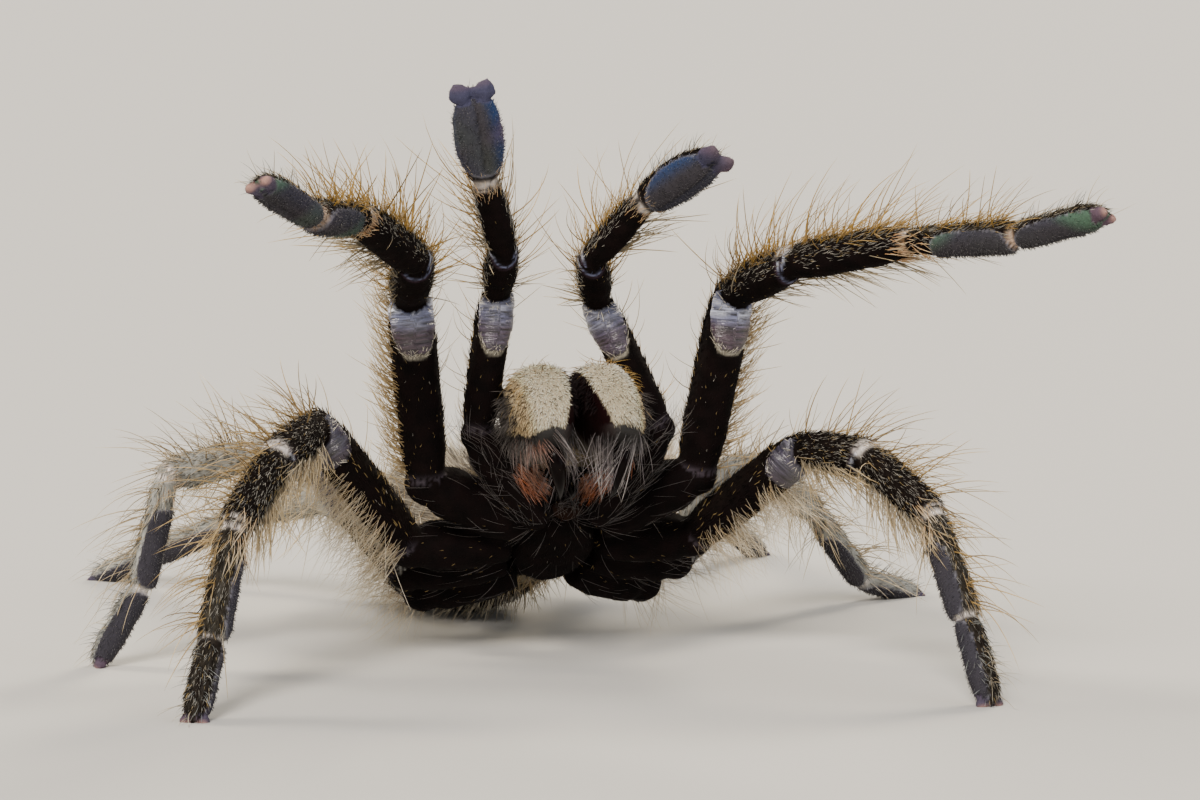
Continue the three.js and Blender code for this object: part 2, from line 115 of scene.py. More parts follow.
def headed(side, heading, rise):
    # the way that two angles in radians point; a heading of 0 is straight ahead
    level = math.cos(rise)
    return np.array([side * math.sin(heading) * level, -math.cos(heading) * level, math.sin(rise)])


def ramp(v, low, high):
    q = np.clip((v - low) / (high - low), 0, 1)
    return q * q * (3 - 2 * q)


def fade(v, low, high):
    # 1 up to low and 0 from high on
    return ramp(-v, -high, -low)


def hump(v, middle, halfWidth):
    return np.exp(-((v - middle) / halfWidth) ** 2)


def makeLimb(name):
    kind, sideName = name.split("_")
    side = 1 if sideName == "left" else -1
    build = limbBuild[kind]
    joints = [bodyPoint(side * build["hip"][0], *build["hip"][1:])]
    for (heading, rise), length in zip(limbPose[name], build["length"]):
        e = math.asin((stance["tipHeight"] - joints[-1][2]) / length) if rise is None else math.radians(rise)
        joints.append(joints[-1] + headed(side, math.radians(heading), e) * length)
    joints = np.array(joints)
    ways = unit(np.diff(joints, axis=0))
    reference = np.array(build["back"], float)
    backs = unit(reference - ways * (ways @ reference)[:, None])
    segments = ["femur", "patella", "tibia", "metatarsus", "tarsus"]
    return {
        "kind": kind, "side": side, "coxa": build["coxa"], "joints": joints, "ways": ways, "backs": backs,
        "wides": np.cross(ways, backs), "lengths": np.array(build["length"], float),
        "radii": np.array(build["radius"], float),
        "segments": segments[:3] + ["palpTarsus"] if kind == "palp" else segments,
        "root": bodyPoint(side * build["root"][0], *build["root"][1:]),
    }


limbs = {name: makeLimb(name) for name in limbNames}


# Closed shells that the skin is made from, with what each of their points belongs to.
shells = []


def ringShape(sides):
    angle = np.linspace(0, 2 * np.pi, sides, endpoint=False)
    return np.sin(angle), np.cos(angle)


def addShell(rows, part, segment=0):
    count, sides = rows.shape[:2]
    points = np.concatenate([rows.reshape(-1, 3), [rows[0].mean(0), rows[-1].mean(0)]])
    ring = np.arange(sides)
    after = (ring + 1) % sides
    faces = []
    for k in range(count - 1):
        a, b = k * sides, (k + 1) * sides
        faces.append(np.stack([a + ring, a + after, b + after], 1))
        faces.append(np.stack([a + ring, b + after, b + ring], 1))
    last = (count - 1) * sides
    faces.append(np.stack([np.full(sides, len(points) - 2), after, ring], 1))
    faces.append(np.stack([np.full(sides, len(points) - 1), last + ring, last + after], 1))
    faces = np.concatenate(faces)
    a, b, c = (points[faces[:, i]] for i in range(3))
    if np.einsum("ij,ij->", a, np.cross(b, c)) < 0:
        faces = faces[:, ::-1]
    if np.ndim(segment):
        segment = np.concatenate([np.repeat(segment, sides), [segment[0], segment[-1]]])
    segment = segment + np.zeros(len(points), int)
    shells.append({"points": points, "faces": faces, "part": part, "segment": segment})


def addBall(place, rows, sides, part, segment=0, pole=0.05):
    # place takes the points of a unit ball (x, y, z) to the body
    wide, ahead = ringShape(sides)
    level = np.cos(np.linspace(pole, np.pi - pole, rows))[:, None]
    size = np.sqrt(1 - level ** 2)
    addShell(place(size * wide, size * ahead, level + 0 * wide), part, segment)


def halfSizes(segment, t, wideSize, deepSize):
    along, halfWide, halfDeep = np.array(segmentProfiles[segment]).T
    return (np.interp(t, along, half) * size - stance["coatDepth"]
            for half, size in ((halfWide, wideSize), (halfDeep, deepSize)))


def limbShell(name, limb, ringStep=0.35, sides=36, hidden=0.22):
    # the first rings start a little way out, hidden in the knob at the hip
    wide, deep = (part[:, None] for part in ringShape(sides))
    ways, lengths, radii = limb["ways"], limb["lengths"], limb["radii"]
    rows, owners = [], []
    for k, segment in enumerate(limb["segments"]):
        length = lengths[k]
        start = hidden * radii[0] / length if k == 0 else 0
        count = max(4, int(length / ringStep))
        for t in np.linspace(start, 1, count, endpoint=k == len(ways) - 1):
            halfWide, halfDeep = halfSizes(segment, t, radii[k], radii[k])
            offsets = wide * halfWide * limb["wides"][k] + deep * halfDeep * limb["backs"][k]
            lean = 0
            for neighbour, share in ((k - 1, 1 - t), (k + 1, t)):
                if 0 <= neighbour < len(ways):
                    normal = unit(ways[neighbour] + ways[k])
                    lean = lean - share * (offsets @ normal) / (ways[k] @ normal)
            rows.append(limb["joints"][k] + offsets + np.reshape(t * length + lean, (-1, 1)) * ways[k])
            owners.append(k + 1)
    addShell(np.array(rows), name, np.array(owners))


hipMake = {"short": 0.6, "rings": 20, "sides": 28, "knob": 0.98}


def hipShell(name, limb):
    start, end = limb["root"], limb["joints"][0]
    way = unit(end - start)
    widthWay = unit(np.cross(way, backUp))
    depthWay = np.cross(widthWay, way)
    reach = np.linalg.norm(end - start) - hipMake["short"]
    wide, deep = (part[:, None] for part in ringShape(hipMake["sides"]))
    rows = []
    for t in np.linspace(0, 1, hipMake["rings"]):
        halfWide, halfDeep = halfSizes("hip", t, *limb["coxa"])
        rows.append(start + t * reach * way + wide * halfWide * widthWay + deep * halfDeep * depthWay)
    addShell(np.array(rows), name, 0)
    knob = limb["radii"][0] * hipMake["knob"] - stance["coatDepth"]
    addBall(lambda x, y, z: end + knob * np.stack([x, y, z], -1), 14, 24, name, 0)


carapace = {
    "halfWidth": 8.5, "frontReach": 12.6, "rearReach": 10.2, "frontEdge": 9.1, "rim": 3.6, "dome": 4.7,
    "frontTaper": 0.2, "foveaAt": -1.5, "foveaDepth": 0.95, "grooves": 8, "grooveDepth": 0.26, "inset": 0.22,
}
tubercle = {"f": 7.1, "u": 7.25, "halfWidth": 1.9, "halfLength": 1.25, "height": 1.1, "inset": 0.1}
# each ring of the sternum is a share of its size and a level above its lowest point
sternum = {"halfWidth": 3.7, "halfLength": 4.5, "low": -0.9, "sink": 0.1, "inset": 0.2, "taper": 0.22,
           "rings": ((0.2, 0), (0.55, 0.1), (0.82, 0.3), (0.96, 0.65), (1, 1.1), (1, 2.4), (1, 4.2))}
# plain balls that complete the front body: half sizes, then forward and up from the sternum's middle
labium = {"half": (1.25, 0.85, 0.9), "f": 5.7, "u": -0.3}
trunk = {"half": (6.6, 7.6, 1.9), "f": -0.4, "u": 3.3}
abdomen = {"halfLength": 12.8, "halfWidth": 8.6, "halfHeight": 7.55, "centre": (-1.4, 24, 7.35),
           "swing": 8, "pitch": -3, "rearFullness": 0.12, "coatDepth": 0.75}
pedicel = {"radius": 1.0, "start": (0, -4.4, 2.2), "frontDepth": 3.5, "drop": 1.6}
spinneret = {"length": 5, "radius": 0.68, "taper": 0.45, "spread": 14, "rise": 12, "root": (1.5, 1.6, -1.2),
             "inset": 0.25}
# across, forward, up, half width and half height of each ring from the head down to the fang
jaw = {"swing": 5, "middle": 2.95, "inward": 1.05, "rings": (
    (2.9, 9.25, 4.5, 2.6, 3.1), (3.0, 11.2, 4.75, 2.8, 3.7), (2.95, 13.4, 4.3, 2.8, 3.95),
    (2.9, 15.3, 3.0, 2.65, 3.75), (2.9, 16.4, 1.45, 2.5, 3.3), (2.95, 16.9, 0.0, 2.3, 2.75),
    (3.0, 17.05, -1.25, 1.95, 2.1), (3.0, 17.05, -1.9, 1.2, 1.3))}


def jawSwing(f):
    # how far the jaws have swung over at each place forward
    return (f - carapace["frontEdge"]) * math.tan(math.radians(jaw["swing"]))


def jawPoint(x, f, u):
    return bodyPoint(x - jawSwing(f), f, u)


def eased(values, times):
    for _ in range(times):
        values = np.concatenate([values[:1], (values[:-2] + 2 * values[1:-1] + values[2:]) / 4, values[-1:]])
    return values


def jawRows(side, count=60, sides=48, easing=30, leastHalf=0.3):
    rings = np.array(jaw["rings"])
    at = np.linspace(0, len(rings) - 1, count)
    columns = (np.interp(at, np.arange(len(rings)), column) for column in rings.T)
    x, f, u, halfWidth, halfHeight = (eased(column, easing) for column in columns)
    slope = np.arctan2(np.gradient(u), np.gradient(f)) * np.minimum(1, at)
    wide, deep = ringShape(sides)
    rows = []
    inner = np.maximum(0, -wide * side)
    full = np.where((inner > 0) & (deep > 0), (inner ** 4 + deep ** 4) ** -0.25, 1)
    closer = np.where(inner > 0, jaw["inward"], 1)
    for k in range(count):
        width, height = (max(leastHalf, size - stance["coatDepth"]) for size in (halfWidth[k], halfHeight[k]))
        rise = deep * full * height
        rows.append(jawPoint(side * x[k] + wide * full * closer * width, f[k] - rise * math.sin(slope[k]),
                             u[k] + rise * math.cos(slope[k])))
    return np.array(rows)


def turnAbout(angle, axis):
    return np.array(Matrix.Rotation(math.radians(angle), 3, axis))


abdomenTurn = turnAbout(abdomen["swing"], "Z") @ turnAbout(abdomen["pitch"], "X")
abdomenMiddle = np.array(abdomen["centre"]) + np.array([*stance["offset"], 0])


def abdomenPoint(local):
    return np.asarray(local, float) @ abdomenTurn.T + abdomenMiddle


def abdomenPlace(x, y, z):
    a = abdomen
    full = 1 + a["rearFullness"] * y
    return abdomenPoint(np.stack([
        x * (a["halfWidth"] - a["coatDepth"]) * full, y * (a["halfLength"] - a["coatDepth"]),
        z * (a["halfHeight"] - a["coatDepth"]) * full], -1))


def barRows(start, end, startRadius, endRadius, count=18, sides=20, roundFrom=0.85):
    # a bar with a rounded end
    way = unit(end - start)
    widthWay = unit(np.cross(way, (0, 0, 1)))
    depthWay = np.cross(widthWay, way)
    wide, deep = (part[:, None] for part in ringShape(sides))
    rows = []
    for t in np.linspace(0, 1, count):
        rounding = math.sqrt(max(0.04, 1 - max(0, (t - roundFrom) / 0.152) ** 2))
        radius = (startRadius + (endRadius - startRadius) * t) * rounding
        rows.append(start + (end - start) * t + radius * (wide * widthWay + deep * depthWay))
    return np.array(rows)


def spinneretRows(side):
    s = spinneret
    root = np.array([side * s["root"][0], abdomen["halfLength"] - s["root"][1], s["root"][2]])
    way = headed(side, math.radians(180 - s["spread"]), math.radians(s["rise"]))
    return barRows(abdomenPoint(root), abdomenPoint(root + way * (s["length"] - s["inset"])), s["radius"],
                   s["radius"] * s["taper"])


def sternumRows(sides=44):
    s = sternum
    wide, ahead = ringShape(sides)
    narrow = 1 - s["taper"] * np.maximum(0, -ahead) ** 2
    halfWidth, halfLength = s["halfWidth"] - s["inset"], s["halfLength"] - s["inset"]
    low = s["low"] - s["sink"] + 0 * wide
    return np.array([bodyPoint(wide * halfWidth * narrow * share, ahead * halfLength * share, low + level)
                     for share, level in s["rings"]])


def bodyBall(build, rows, sides, part):
    (wide, long, high), f, u = build["half"], build["f"], build["u"]
    addBall(lambda x, y, z: bodyPoint(x * wide, f + y * long, u + z * high), rows, sides, part)


# The two brushes at the end of each foot: out, forward and down from the tip, half sizes,
# and how square they are from 2, an oval, down to 1, a lozenge.
footTuft = {
    "palp": {"at": (0.95, -0.62, -0.47), "half": (1.06, 1.16, 0.46), "corner": 1.25},
    "leg": {"at": (0.6, -0.5, -0.25), "half": (0.55, 0.85, 0.5), "corner": 2},
}


def tuftShells(name, limb, splay=0.4):
    tuft = footTuft["palp" if limb["kind"] == "palp" else "leg"]
    (out, ahead, low), (halfWide, halfLong, halfDeep), corner = tuft.values()
    way, back, wide = (limb[key][-1] for key in ("ways", "backs", "wides"))
    for hand in (1, -1):
        along = unit(way + splay * hand * wide)
        cross = unit(wide - along * (wide @ along))
        middle = limb["joints"][-1] + hand * out * wide + ahead * way + low * back

        def place(x, y, z):
            pinch = np.hypot(x, y) / (np.abs(x) ** corner + np.abs(y) ** corner) ** (1 / corner)
            return middle + (x * pinch * halfWide * (0.92 + 0.34 * y))[..., None] * cross \
                + (y * pinch * halfLong)[..., None] * along + (z * halfDeep)[..., None] * back

        addBall(place, 16, 24, name, len(limb["ways"]) + 1)


for name, limb in limbs.items():
    limbShell(name, limb)
    hipShell(name, limb)
    tuftShells(name, limb)
for side, sideName in ((1, "left"), (-1, "right")):
    addShell(jawRows(side), "jaw_" + sideName)
    addShell(spinneretRows(side), "abdomen", 1)
addShell(sternumRows(), "sternum")
bodyBall(labium, 18, 24, "labium")
bodyBall(trunk, 20, 40, "sternum")
addBall(abdomenPlace, 54, 76, "abdomen")
pedicelEnd = abdomenPoint((0, pedicel["frontDepth"] - abdomen["halfLength"], -pedicel["drop"]))
addShell(barRows(bodyPoint(*pedicel["start"]), pedicelEnd, pedicel["radius"], pedicel["radius"]), "pedicel")
print("shells:", len(shells))


def newObject(name, data):
    thing = bpy.data.objects.new(name, data)
    bpy.context.scene.collection.objects.link(thing)
    return thing


def settle(piece, slot, *replaced):
    # which solids a visible piece stands for; the slot, where its finish would come from, is not used
    if replaced:
        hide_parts(*replaced)
    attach(piece, "root")


def meshOf(name, points, faces, scale=mm):
    # faces all have the same number of corners
    mesh = bpy.data.meshes.new(name)
    corners = faces.shape[1]
    mesh.vertices.add(len(points))
    mesh.vertices.foreach_set("co", (points * scale).astype(np.float32).ravel())
    mesh.loops.add(faces.size)
    mesh.loops.foreach_set("vertex_index", faces.astype(np.int32).ravel())
    mesh.polygons.add(len(faces))
    mesh.polygons.foreach_set("loop_start", np.arange(0, faces.size, corners, dtype=np.int32))
    mesh.polygons.foreach_set("use_smooth", np.ones(len(faces), bool))
    mesh.update(calc_edges=True)
    return mesh


def readPoints(mesh, field):
    # field is co or normal
    values = np.empty(len(mesh.vertices) * 3, np.float32)
    mesh.vertices.foreach_get(field, values)
    return values.reshape(-1, 3).astype(float)


def movePoints(mesh, points):
    mesh.vertices.foreach_set("co", (points * mm).astype(np.float32).ravel())
    mesh.update()


def remeshed(name, voxel, smoothing):
    # joins all the shells into one closed object, still in mm, and gives its mesh too
    starts = np.cumsum([0] + [len(shell["points"]) for shell in shells])
    points = np.concatenate([shell["points"] for shell in shells])
    faces = np.concatenate([shell["faces"] + start for shell, start in zip(shells, starts)])
    piece = newObject(name, meshOf(name, points, faces, 1))
    remesh = piece.modifiers.new("join", "REMESH")
    remesh.mode = "VOXEL"
    remesh.voxel_size = voxel
    soften = piece.modifiers.new("soften", "SMOOTH")
    soften.factor = 0.5
    soften.iterations = smoothing
    mesh = bpy.data.meshes.new_from_object(piece.evaluated_get(bpy.context.evaluated_depsgraph_get()))
    piece.modifiers.clear()
    old, piece.data = piece.data, mesh
    bpy.data.meshes.remove(old)
    return piece, mesh


skinMake = {"voxel": 0.24, "smoothing": 5}
skin, skinMesh = remeshed("skin", **skinMake)
print("skin:", len(skinMesh.polygons), "faces")


# What each point of the skin belongs to, and where on it the point lies.
partNames = limbNames + ["jaw_left", "jaw_right", "sternum", "labium", "abdomen", "pedicel", "carapace"]


def ownersOf(points):
    tree = KDTree(sum(len(shell["points"]) for shell in shells))
    parts, segments = [], []
    for shell in shells:
        for p in shell["points"]:
            tree.insert(p, len(parts))
            parts.append(partNames.index(shell["part"]))
        segments.extend(shell["segment"])
    tree.balance()
    nearest = np.array([tree.find(p)[1] for p in points])
    return np.array(parts)[nearest], np.array(segments)[nearest]


def describe(points, parts, segments):
    # along and length in mm; angle is 0 on the back of the limb and pi or -pi beneath it
    count = len(points)
    info = {"points": points, "part": parts, "segment": segments, "kind": np.full(count, "body", dtype="U8"),
            "bone": np.full(count, "body", dtype="U12"), "way": np.tile(forward, (count, 1)),
            **{key: np.zeros(count) for key in ("side", "t", "along", "station", "angle", "tuft")},
            **{key: np.ones(count) for key in ("length", "radius")}}
    for name, limb in limbs.items():
        last = len(limb["ways"])
        for segment in range(last + 2):
            here = (parts == partNames.index(name)) & (segments == segment)
            k = min(segment, last)
            if k == 0:
                start, end = limb["root"], limb["joints"][0]
                way = unit(end - start)
                wide = unit(np.cross(way, backUp))
                back, length, station, bone = np.cross(wide, way), np.linalg.norm(end - start), 0, "hip"
            else:
                start, way, back, wide = (limb[key][k - 1] for key in ("joints", "ways", "backs", "wides"))
                length, bone = limb["lengths"][k - 1], limb["segments"][k - 1]
                station = np.linalg.norm(limb["joints"][0] - limb["root"]) + limb["lengths"][:k - 1].sum()
            away = points[here] - start
            for key, value in {
                "tuft": segment > last, "along": away @ way, "length": length, "t": away @ way / length,
                "station": station + np.clip(away @ way, 0, length), "way": way, "kind": limb["kind"],
                "angle": np.arctan2(away @ wide, away @ back), "radius": np.hypot(away @ wide, away @ back),
                "bone": bone, "side": limb["side"],
            }.items():
                info[key][here] = value
    away = points - bodyMiddle
    info["x"], info["f"], info["u"] = away[:, 0], away @ forward, away @ backUp
    info["height"] = away[:, 2]                            # above the level of the sternum
    info["belly"] = np.abs(info["angle"]) / np.pi          # 0 on the back, 1 beneath
    info["abdomen"] = (points - abdomenMiddle) @ abdomenTurn
    for index, name in enumerate(partNames[len(limbNames):], len(limbNames)):
        info["bone"][parts == index] = name.split("_")[0]
        info["side"][parts == index] = {"left": 1, "right": -1}.get(name.split("_")[-1], 0)
    return info


def isBone(info, *names):
    return np.isin(info["bone"], names)


def isKind(info, *names):
    return np.isin(info["kind"], names)


def softNoise(points, size, seed, waves=9):
    # smooth, even noise from -1 to 1 with patches of about this size in mm
    draw = np.random.default_rng(seed)
    total = np.zeros(len(points))
    for _ in range(waves):
        direction = unit(draw.normal(size=3))
        step = size * draw.uniform(0.8, 1.9)
        total += np.sin(points @ direction * 2 * np.pi / step + draw.uniform(0, 6.28))
    return np.clip(total / 4.2, -1, 1)


jointMarks = {"kneeReach": 9, "kneeLong": 4.4, "kneeOver": 0.45, "kneeWide": 0.5, "kneeNarrow": 0.2,
              "secondLong": 0.7, "secondNarrow": 0.3, "bow": 0.75, "crescent": 0.07, "fold": 0.13}
# degrees that the bare knees and the pads of some legs face forwards
kneeTurn = {"leg2_left": 45, "leg2_right": 50, "leg3_left": 25, "leg3_right": 25}
padTurn = {"leg2_left": 58, "leg2_right": 15, "leg3_left": -15, "leg3_right": 42}
# where each pad begins and ends along its bone
padReach = {"metatarsus": (0.27, 0.99), "tarsus": (0.02, 1.05), "palpTarsus": (0.1, 0.96)}
farOff = 99


def aroundFrom(info, turns):
    # how far round a limb from the middle of a patch, 0 to 1, each patch beneath its limb or turned forwards
    turn = np.radians([turns.get(name, 0) for name in partNames])[info["part"]]
    return np.abs((info["angle"] * info["side"] + turn) % (2 * np.pi) - np.pi) / np.pi


def pastJoint(info, nearer, *further):
    # mm beyond the joint between two bones, less than 0 on the nearer one
    left = info["along"] - info["length"]
    return np.where(info["bone"] == nearer, left, np.where(isBone(info, *further), info["along"], farOff))


def kneeZones(info):
    # bare skin that runs from just over the knee down the front of the upper bone, with a pale rim
    j, second = jointMarks, info["kind"] == "leg2"
    knee = pastJoint(info, "femur", "patella")
    near = np.abs(knee) < j["kneeReach"]
    down = np.clip(-knee / (j["kneeLong"] * np.where(second, j["secondLong"], 1)), 0, 2)
    around = aroundFrom(info, kneeTurn)
    narrow = np.where(second, j["secondNarrow"], j["kneeNarrow"])
    spread = j["kneeWide"] + (narrow - j["kneeWide"]) * np.minimum(down, 1) ** 1.8
    over = j["kneeOver"] * (1 - (around / j["kneeWide"]) ** 2)
    shape = np.where(knee > 0, knee / np.maximum(over, 0.05), 0) ** 2 + down ** 8 + (around / spread) ** 5
    rim = np.clip(hump(shape, 1.5, 0.45) * near * (around < 0.6), 0, 1)
    return {"knee": ramp(1.12 - shape, 0, 0.3) * near, "kneeAlong": knee, "kneeAround": around,
            "kneeRim": rim * np.maximum(ramp(down, 0.45, 0.95), knee > 0)}


def jawZones(info):
    # a pale pile above and in front, outside the groove between the jaws
    side = info["side"]
    outer = (info["x"] - (jaw["middle"] * side - jawSwing(info["f"]))) * side
    innerEdge = -2.15 + 1.35 * fade(info["height"], 11, 15.8)
    arch = info["height"] + np.where(outer > 0, 0.3, 0.1) * outer ** 2
    pile = ramp(outer, innerEdge - 0.12, innerEdge + 0.12) * fade(outer, 2.0, 2.5)
    pile = pile * ramp(arch, 11.75, 12.05)
    return {"pile": (info["bone"] == "jaw") * pile, "jawArch": arch, "jawOuter": outer}


def padZone(info):
    palpFoot = info["bone"] == "palpTarsus"
    onBone = [info["bone"] == name for name in padReach]
    start, end = (np.select(onBone, ends, 0) for ends in zip(*padReach.values()))
    reach = np.abs(info["t"] - (start + end) / 2) / np.maximum((end - start) / 2, 0.01)
    power = np.where(palpFoot, 2.6, 4.0)
    edge = 1 - reach ** power - (aroundFrom(info, padTurn) / np.where(palpFoot, 0.56, 0.53)) ** power
    onPad = isBone(info, *padReach) * (1 - info["tuft"])
    return {"pad": ramp(edge, 0, 0.12) * onPad, "padEdge": hump(edge, 0.06, 0.09) * onPad}


def zones(info):
    # shares from 0 to 1 of the bare joint skin, the pads under the feet, the pale rings and the jaws' pile
    j, belly = jointMarks, info["belly"]
    result = {**kneeZones(info), **jawZones(info), **padZone(info), "tuft": info["tuft"]}
    shin = pastJoint(info, "patella", "tibia")
    inner = 1 - result["kneeAround"]
    bowedShin = shin + j["bow"] * ramp(inner, 0.45, 1.0)
    result["crescent"] = hump(bowedShin, 0.15, j["crescent"]) * ramp(inner, 0.3, 0.45)
    result["crescentFold"] = hump(bowedShin, -0.1, j["fold"]) * ramp(inner, 0.4, 0.6)
    result["crescentShade"] = hump(bowedShin, 0.7, 0.5) * ramp(inner, 0.45, 0.7)
    result["cap"] = hump(shin, 0.05, 0.32) * fade(belly, 0.3, 0.5)
    ankle = pastJoint(info, "tibia", "metatarsus", "palpTarsus")
    result["ankle"] = ankle
    result["ring"] = np.clip(1.3 * hump(ankle, 0.1, 0.2 + 0.1 * isBone(info, "palpTarsus")), 0, 1)
    result["footRing"] = hump(pastJoint(info, "metatarsus", "tarsus"), 0, 0.2)
    hip = np.where(info["bone"] == "femur", info["along"], farOff)
    result["hipRing"] = hump(hip, 0.7, 0.35) * ramp(belly, 0.4, 0.7)
    return result


def linear(hexColour):
    parts = np.array([int(hexColour[i:i + 2], 16) for i in (1, 3, 5)]) / 255
    return np.where(parts <= 0.04045, parts / 12.92, ((parts + 0.055) / 1.055) ** 2.4)


# the near white membrane tone is a painted highlight on the wet joint skin, not a colour of the skin
# the pads' blue, green, pink and teal tones are a painted iridescent sheen
markings = {
    "velvet": "#090606", "velvetBrown": "#170d0d", "olive": "#322c22", "greyOlive": "#736d5c",
    "silverGrey": "#a9acaa", "cream": "#f8eaca", "creamDeep": "#b59a6c", "jawSide": "#4a4640",
    "groove": "#120304", "jawHorn": "#0c090a", "membrane": "#6a7090", "membraneDeep": "#3a2c37",
    "membraneHighlight": "#d3d8e8", "membraneDark": "#251d28", "kneeRim": "#c9c2b0", "padSlate": "#37353a",
    "padBlue": "#22365a", "padGreen": "#3d4a3c", "padPink": "#5d4853", "padEdge": "#8c8c98",
    "padTeal": "#4d6f58", "tuft": "#484353", "tuftPeach": "#b58d7e", "ring": "#e9e0da",
    "ringBuff": "#a8845f", "labium": "#2c1c14", "hipLilac": "#3c343e", "maroon": "#2c0c0c",
    "abdomenDark": "#3a332c", "abdomenPale": "#a39b8c", "carapaceDark": "#221a15",
    "carapacePale": "#7f7663",
}
hairTones = {
    "flecks": "#a08a5c", "silver": "#b3b0a6", "golden": "#a8822f", "goldenRoot": "#4a3818",
    "goldenTip": "#bf9e55", "straw": "#d2bf98", "greyBristle": "#8a8270", "greyTip": "#d8d1bf",
    "buffFringe": "#a58c62", "buffTip": "#dccba6", "buffOrange": "#b5763f", "orange": "#ad5a24",
    "orangeTip": "#dcab92", "mauveBristle": "#40363a", "mauveTip": "#c6bbbd", "flankGrey": "#d0ccc2",
    "whiteTip": "#efe6d2", "footGrey": "#8e999d", "footRoot": "#3c4144",
}
tone = {name: linear(value) for name, value in {**markings, **hairTones}.items()}
rearShare = {"palp": 0.0, "leg1": 0.05, "leg2": 0.42, "leg3": 0.95, "leg4": 1.0}
# mm that each marking rises or sinks, the size of the wrinkles, and how much painted shade darkens the skin
# under the pile
relief = {"kneeSwell": 0.2, "wrinkle": 0.07, "wrinkleStep": 0.75, "padRise": 0.2, "padCrease": 0.1,
          "ringSink": 0.16, "grain": 0.03, "crescentRise": 0.05, "pileShade": 0.6}


def layered(colour, *layers):
    # layers go on in turn: a tone, and how much of it covers what is beneath
    for name, share in zip(layers[::2], layers[1::2]):
        colour = colour + (tone[name] - colour) * np.reshape(np.clip(share, 0, 1), (-1, 1))
    return colour


def mixed(info, first, *layers):
    # the first tone under the others, whose shares may be functions of the place
    layers = [part(info) if callable(part) else part for part in layers]
    return layered(np.tile(tone[first], (len(info["t"]), 1)), *layers)


def rearOf(info):
    return sum(value * (info["kind"] == kind) for kind, value in rearShare.items())


def boneShare(info, shares):
    return sum(value * (info["bone"] == bone) for bone, value in shares.items())


def limbTint(info, patch, fine):
    # black velvet beneath, olive and silver grey above in drawn-out streaks, paler towards the hind legs
    belly, rear = info["belly"], rearOf(info)
    shank = isBone(info, "patella", "tibia", "metatarsus", "tarsus", "palpTarsus")
    edge = 0.47 + 0.2 * rear + 0.42 * rear * shank
    onBack = ramp(edge - belly + 0.05 * patch, 0, 0.16) * (shank | (info["bone"] == "femur"))
    around = info["angle"] * info["radius"] / 0.42
    streak = softNoise(np.stack([around, info["station"] / 2.4, info["part"] * 7.3 + 0 * around], 1), 1.0, 3)
    frontBlack = 0.9 - 0.45 * isBone(info, "metatarsus", "tarsus")
    secondBlack = np.select([isBone(info, "femur", "patella", "tibia"), isBone(info, "tarsus")],
                            [1.0, 0.9], 0.8)
    black = isKind(info, "palp", "leg1") * frontBlack + isKind(info, "leg2") * secondBlack
    line = hump(np.abs(info["angle"]), 0.5, 0.1) * shank * ramp(info["t"], 0.02, 0.2)
    return mixed(
        info, "velvet",
        "velvetBrown", 0.25 + 0.25 * fine,
        "olive", onBack * (0.75 + 0.25 * streak) * (1 - 0.9 * black),
        "greyOlive", onBack * (1 - black) * np.clip(0.1 + 0.62 * rear + 0.3 * streak, 0, 1),
        "silverGrey", onBack * (1 - black) * np.clip(rear - 0.35, 0, 1) * (0.85 + 0.35 * streak),
        "silverGrey", line * (1 - black) * (0.05 + 0.6 * rear))


def jawTint(info, spots, colour, patch):
    # grey outer sides, dark horn below, a dark red groove between the jaws and the cream pile over all
    outer, pile, onJaw = spots["jawOuter"], spots["pile"], info["bone"] == "jaw"
    return layered(
        colour,
        "jawSide", onJaw * ramp(outer, 0.8, 2.2) * 0.9,
        "jawHorn", onJaw * fade(spots["jawArch"], 11.9, 12.1) * 0.95,
        "groove", onJaw * ramp(-outer, 0.3, 1.2),
        "cream", pile,
        "creamDeep", pile * np.clip(0.12 + 0.15 * patch + 0.75 * ramp(outer, 1.0, 2.1), 0, 1),
        "jawSide", onJaw * fade(info["f"], 10.6, 12.2) * 0.85)


def bodyTint(info, colour, patch, fine):
    # chevrons over the abdomen, and pale rays that fan out over the shield
    ax, ay, az = info["abdomen"].T
    chevron = np.sin((ay + 0.55 * np.abs(ax)) * 2 * np.pi / 3.4) * ramp(az, 1, 4) * fade(np.abs(ax), 3, 6)
    spine = hump(ax, 0, 0.8) * ramp(az, 2, 5)
    pale = ramp(az, -3, 3) * (0.5 + 0.35 * chevron + 0.12 * patch - 0.3 * spine)
    fromPit = info["f"] - carapace["foveaAt"]
    reach = np.hypot(info["x"], fromPit)
    rays = np.cos(np.arctan2(info["x"], fromPit) * carapace["grooves"]) ** 2 * ramp(reach, 1.2, 4)
    palePlate = 0.25 + 0.45 * rays + 0.2 * ramp(reach, 5, 9) + 0.12 * fine
    rear = mixed(info, "abdomenDark", "abdomenPale", pale)
    shield = mixed(info, "carapaceDark", "carapacePale", palePlate)
    colour = layered(colour, "labium", isBone(info, "labium") * 0.5)
    colour = np.where(isBone(info, "abdomen", "pedicel")[:, None], rear, colour)
    return np.where(isBone(info, "carapace")[:, None], shield, colour)


def bowed(info, spots):
    # mm along a limb from the knee, in lines that bow across its bare skin
    near = np.abs(spots["kneeAlong"]) < jointMarks["kneeReach"]
    return np.where(near, spots["kneeAlong"], 0) + 2 * spots["kneeAround"] ** 2


def creases(info, spots):
    # broad uneven folds across a knee, from -1 to 1
    chart = np.stack([bowed(info, spots), info["angle"] * 0.55, info["part"] * 3.7], 1)
    return softNoise(chart, relief["wrinkleStep"], 12)


